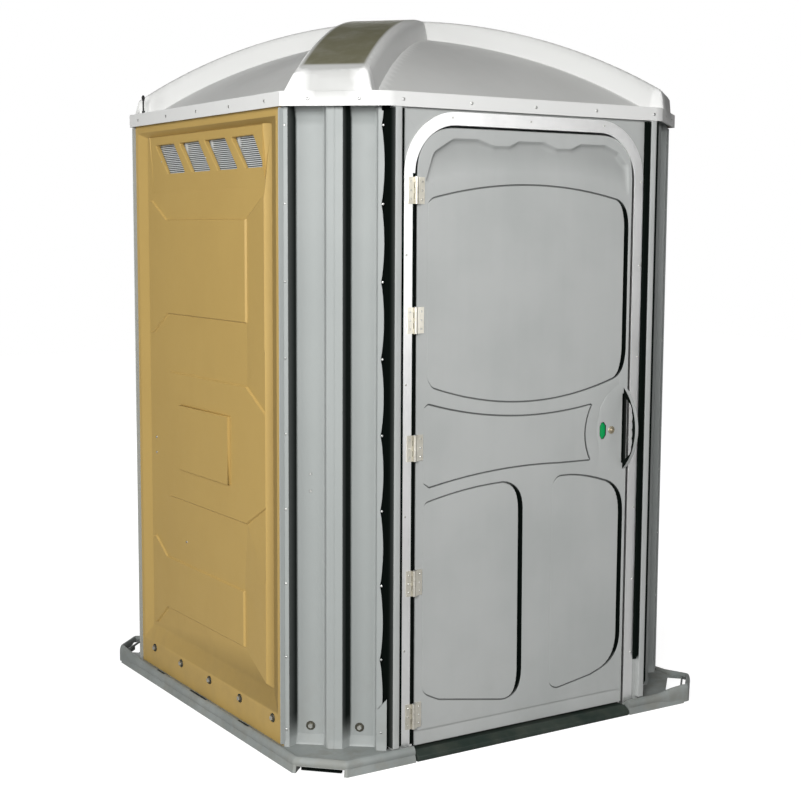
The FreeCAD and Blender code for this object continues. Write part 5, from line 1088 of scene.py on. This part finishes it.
# The seam rivets of the front corners sit this much further on the flange, along the slanted sheet
ON_FLANGE = 0.006
for node, tree in (("rim_rivets", domes), ("seam_rivets", domes), ("frame_rivets", domes),
                   ("hinge_rivets_door", domes), ("base_bolts", nuts), ("base_washers", discs)):
    spots = head_spots(node)
    radius, high = (sorted(spot[k] for spot in spots)[len(spots) // 2] for k in (2, 3))
    mesh = bpy.data.meshes.new(node + "_heads")
    places = []
    for top, axis, _, _ in spots:
        if node == "seam_rivets" and top.y < 0 and abs(top.x) < 0.56:
            top = top + Vector((math.copysign(0.788, top.x), -0.616 * math.copysign(1, top.y), 0)) * ON_FLANGE
        places.append(top - axis * high)
    mesh.from_pydata(places, [], [])
    mesh.attributes.new("aim", "FLOAT_VECTOR", "POINT").data.foreach_set(
        "vector", [c for spot in spots for c in spot[1]])
    heads = linked(node + "_heads", mesh)
    setting = heads.modifiers.new("heads", "NODES")
    setting.node_group = tree
    chosen = {"Radius": radius, "Rise": high, "Finish": finish_of[node]}
    for socket in tree.interface.items_tree:
        if socket.in_out == "INPUT" and socket.name in chosen:
            setting[socket.identifier] = chosen[socket.name]
    bake_modifiers(heads)
    settle(heads, node, 40)


# Roof: crossed vaults with two soft ridges on the diagonals
RIM_TOP, RIM_X, RIM_Y, INNER = 2000.0, 522, 562, 0.992
RIM_SLANT = round(math.hypot(ROOF_OUT - RIM_X, ROOF_OUT - RIM_Y), 1)
VAULT_TOP, VAULT_RISE, VAULT_HALF = 2252, 262, 700.0
RIDGE_TOP, RIDGE_RISE, RIDGE_HALF = 2305, 250, 124
RIDGE_REACH = ((RIM_X + ROOF_OUT) / 2 + (RIM_Y + ROOF_OUT) / 2) / ROOT_2 - 9


def arc_height(top, rise, half, distance):
    """Height of an arc of a given rise and half width, at a distance from its middle."""
    radius = (rise * rise + half * half) / (rise * 2)
    return top - radius + math.sqrt(max(radius * radius - distance * distance, 0.0))


def diagonals(x, y):
    """Place along and across each of the two ridges."""
    return [((x + k * y) / ROOT_2, (x - k * y) / ROOT_2) for k in (1, -1)]


def from_diagonal(k, u, t):
    """Point at u along and t across ridge k."""
    return ((u + t) / ROOT_2, k * (u - t) / ROOT_2)


def roof_height(x, y):
    """The vaults, flat at the rim, with the ridges rounded into them."""
    in_x, in_y = ROOF_OUT - abs(x), ROOF_OUT - abs(y)
    from_cut = (in_x * (ROOF_OUT - RIM_Y) + (RIM_Y - abs(y)) * (ROOF_OUT - RIM_X)) / RIM_SLANT
    within = min(in_x, in_y, from_cut)
    widest = max(abs(x), abs(y))
    vault = min(arc_height(VAULT_TOP, VAULT_RISE, VAULT_HALF, place) for place in (x, y))
    z = max(RIM_TOP, vault if widest < VAULT_HALF else 0.0)
    for share in ((VAULT_HALF + 4 - widest) / 6.0, (within - 4.0) / 40.0):
        z = RIM_TOP + (z - RIM_TOP) * unit(share)
    best = z
    for u, t in diagonals(x, y):
        if abs(u) < RIDGE_REACH + 8 and abs(t) < 130:
            ridge = arc_height(RIDGE_TOP, RIDGE_RISE, RIDGE_REACH, u)
            side, end = unit((RIDGE_HALF - abs(t)) / 26.0), unit((within - 2.0) / 16.0)
            round_side, round_end = 1 - (1 - side) ** 2.6, 1 - (1 - end) ** 2.6
            best = max(best, z + (ridge - z) * round_side * round_end)
    return best


def rim_outline(inset):
    """The rim's eight corners."""
    x, fx, fy = ROOF_OUT - inset, RIM_X - inset * 0.45, RIM_Y - inset * 0.4
    return [(-fx, -x), (fx, -x), (x, -fy), (x, fy), (fx, x), (-fx, x), (-x, fy), (-x, -fy)]


def run(a, b, count):
    """Points at even steps from a, without b."""
    return [tuple(Vector(a).lerp(Vector(b), k / count)) for k in range(count)]


def spread(points):
    """A closed outline with a point about every 26 mm."""
    out = []
    for a, b in zip(points, points[1:] + points[:1]):
        out += run(a, b, max(1, int((Vector(b) - Vector(a)).length / 26.0)))
    return out


top = Face(spread(rim_outline(0)), -4.0)
for inset, h in ((1.0, -1.2), (2.2, 0), (4, 0), (7, 0), (11, 0), (18, 0)):
    top.loop(spread(rim_outline(inset)), h)
for r in (692, 697, 701, 705):
    crossways, lengthways = ((-540, -r), (540, -r)), ((r, -560), (r, 560))
    for a, b in (crossways, lengthways, ((540, r), (-540, r)), ((-r, 560), (-r, -560))):
        top.loop([*run(a, b, 40), b], 0.0, closed=False)
for k in (1, -1):
    for u in (-RIDGE_REACH + 36, -RIDGE_REACH + 50, RIDGE_REACH - 50, RIDGE_REACH - 36):
        top.loop([from_diagonal(k, u, t) for t in range(-96, 97, 16)], 0.0, closed=False)
    for t in (-124.5, -121.5, -116, -109, -98, -87, 87, 98, 109, 116, 121.5, 124.5):
        top.loop([from_diagonal(k, RIDGE_REACH * math.sin(i / 44 * math.pi / 2), t) for i in range(-44, 45)],
                 0.0, closed=False)
top.dots([(x, y) for x in range(-680, 681, 20) for y in range(-680, 681, 20)], 0.0)
points, faces = top.mesh(roof_height)


def roof_under(p):
    """A point's partner on the inside of the shell."""
    rim = p[2] <= 2.0001 and max(abs(p[0]), abs(p[1])) > 0.7045
    return (p[0] * INNER, p[1] * INNER, p[2] - (0.004 if rim else 0.005))


def ridge_top_shade_tone(x, y):
    """Where the flat backs of the ridges are tinted with painted shade."""
    return max(unit((97 - abs(t)) / 10.0) * unit((RIDGE_REACH - 36 - abs(u)) / 14.0)
               for u, t in diagonals(x, y))


def rim_and_ridge_highlight(x, y):
    """Painted highlight: the flat rim and the soft edges of the ridges are painted paler than the vaults."""
    rim = unit((max(abs(x), abs(y)) - 694) / 8.0)
    for u, t in diagonals(x, y):
        if abs(u) < RIDGE_REACH + 6:
            rim = max(rim, 0.55 - 0.55 * unit((abs(abs(t) - 118) - 13) / 9.0))
    return rim


bm = bmesh.new()
ridge_top_shade = bm.verts.layers.float.new("ridge_top_shade")
light = bm.verts.layers.float.new("pale")
scaled = [(x * MM, y * MM, z * MM) for x, y, z, _ in points]
upper = [bm.verts.new(p) for p in scaled]
for vert, (x, y, _, _) in zip(upper, points):
    vert[ridge_top_shade] = ridge_top_shade_tone(x, y)
    vert[light] = rim_and_ridge_highlight(x, y)
under = [bm.verts.new(roof_under(p)) for p in scaled]
for f in faces:
    bm.faces.new([upper[i] for i in f])
    bm.faces.new([under[i] for i in reversed(f)])
number = {v: i for i, v in enumerate(upper)}
rims = [(number[e.verts[0]], number[e.verts[1]]) for e in bm.edges
        if e.is_boundary and e.verts[0] in number and e.verts[1] in number]
# The rim is folded down to the walls
feet = {}
for a, b in rims:
    for i in (a, b):
        if i not in feet:
            x, y, _ = scaled[i]
            feet[i] = [bm.verts.new((x * share, y * share, ROOF_LOW * MM)) for share in (1, INNER)]
            # The rim's folded-down face is painted fully pale, a painted highlight
            feet[i][0][light] = 1.0
for a, b in rims:
    bm.faces.new((upper[a], upper[b], feet[b][0], feet[a][0]))
    bm.faces.new((feet[a][0], feet[b][0], feet[b][1], feet[a][1]))
    bm.faces.new((feet[a][1], feet[b][1], under[b], under[a]))
settle(mesh_object("roof_skin", bm), "roof", 40)

# Light, floor and camera
world = bpy.data.worlds.new("studio")
scene.world = world
world.use_nodes = True
w = Wiring(world.node_tree)
world.node_tree.nodes.clear()
path = w.add("ShaderNodeLightPath")
direct = w.math("MAXIMUM", path.outputs["Is Camera Ray"], path.outputs["Is Transmission Ray"])
seen = w.math("MAXIMUM", direct, w.times(path.outputs["Is Glossy Ray"], 0.15))
strength = w.ramp(seen, 0.0, 1.0, 0.05, 1.0)
background = w.add("ShaderNodeBackground", {"Color": (1, 1, 1, 1), "Strength": strength})
w.add("ShaderNodeOutputWorld", {"Surface": background.outputs[0]})


def lamp(name, place, aim, size, power):
    """A square lamp at a place, turned to its aim."""
    data = bpy.data.lights.new(name, "AREA")
    data.shape, data.size, data.energy = "SQUARE", size, power
    obj = linked(name, data)
    way = Vector(aim) - Vector(place)
    obj.matrix_world = Matrix.Translation(place) @ way.to_track_quat("-Z", "Y").to_matrix().to_4x4()
    return obj


lamp("key", (-4.4, -4.7, 3.1), (0, -0.2, 1.1), 1.8, 350)
lamp("side", (-6.0, -0.8, 2.0), (-0.7, 0, 1.0), 2.6, 115)
lamp("fill", (3.9, -5.0, 2.4), (0.4, -0.4, 1.2), 2.4, 40).visible_glossy = False
lamp("front", (-1.0, -6.4, 3.0), (-0.1, -0.7, 1.5), 2.2, 90)
lamp("top", (-0.9, -0.6, 6.0), (0, 0, 0), 2.6, 40)
lamp("back", (2.4, 6.0, 3.2), (0, 0.4, 1.0), 2.6, 80)
shine = lamp("shine", (1.6, -5.7, 2.3), (-0.3, -0.75, 1.5), 3.0, 62)
shine.visible_diffuse = False
shine.visible_camera = False

ground = bpy.data.meshes.new("floor_sheet")
ground.from_pydata([(-14, -14, 0), (14, -14, 0), (14, 14, 0), (-14, 14, 0)], [], [(0, 1, 2, 3)])
ground_obj = linked("floor_sheet", ground)
pale = bpy.data.materials.new("pale_floor")
pale.use_nodes = True
w = Wiring(pale.node_tree)
shader = pale.node_tree.nodes["Principled BSDF"]
shader.inputs["Base Color"].default_value = (0.30, 0.30, 0.30, 1)
shader.inputs["Roughness"].default_value = 0.9
shader.inputs["Specular IOR Level"].default_value = 0.1
shader.inputs["Emission Color"].default_value = (1, 1, 1, 1)
path = w.add("ShaderNodeLightPath")
place = w.add("ShaderNodeTexCoord").outputs["Object"]
reach = w.add("ShaderNodeVectorMath", {0: place}, operation="LENGTH").outputs["Value"]
glow = w.ramp(reach, 1.0, 2.2, 0.90, 1.0)
w.join(w.math("MAXIMUM", w.times(path.outputs["Is Camera Ray"], glow),
              w.times(path.outputs["Is Glossy Ray"], 0.2)), shader.inputs["Emission Strength"])
ground.materials.append(pale)

camera = bpy.data.cameras.new("camera")
camera.sensor_width, camera.lens = 36.0, 66.866
eye = linked("camera", camera)
azimuth, dip, roll = math.radians(-32.51), math.radians(6.51), math.radians(0.3)
ahead = Vector((-math.sin(azimuth) * math.cos(dip), math.cos(azimuth) * math.cos(dip), -math.sin(dip)))
right = ahead.cross(Vector((0, 0, 1))).normalized()
up = right.cross(ahead)
side = right * math.cos(roll) + up * math.sin(roll)
head = up * math.cos(roll) - right * math.sin(roll)
turn = Matrix((side, head, -ahead)).transposed().to_4x4()
eye.matrix_world = Matrix.Translation((-2.8109, -4.4303, 1.6008)) @ turn
scene.camera = eye
scene.view_settings.view_transform = "Standard"
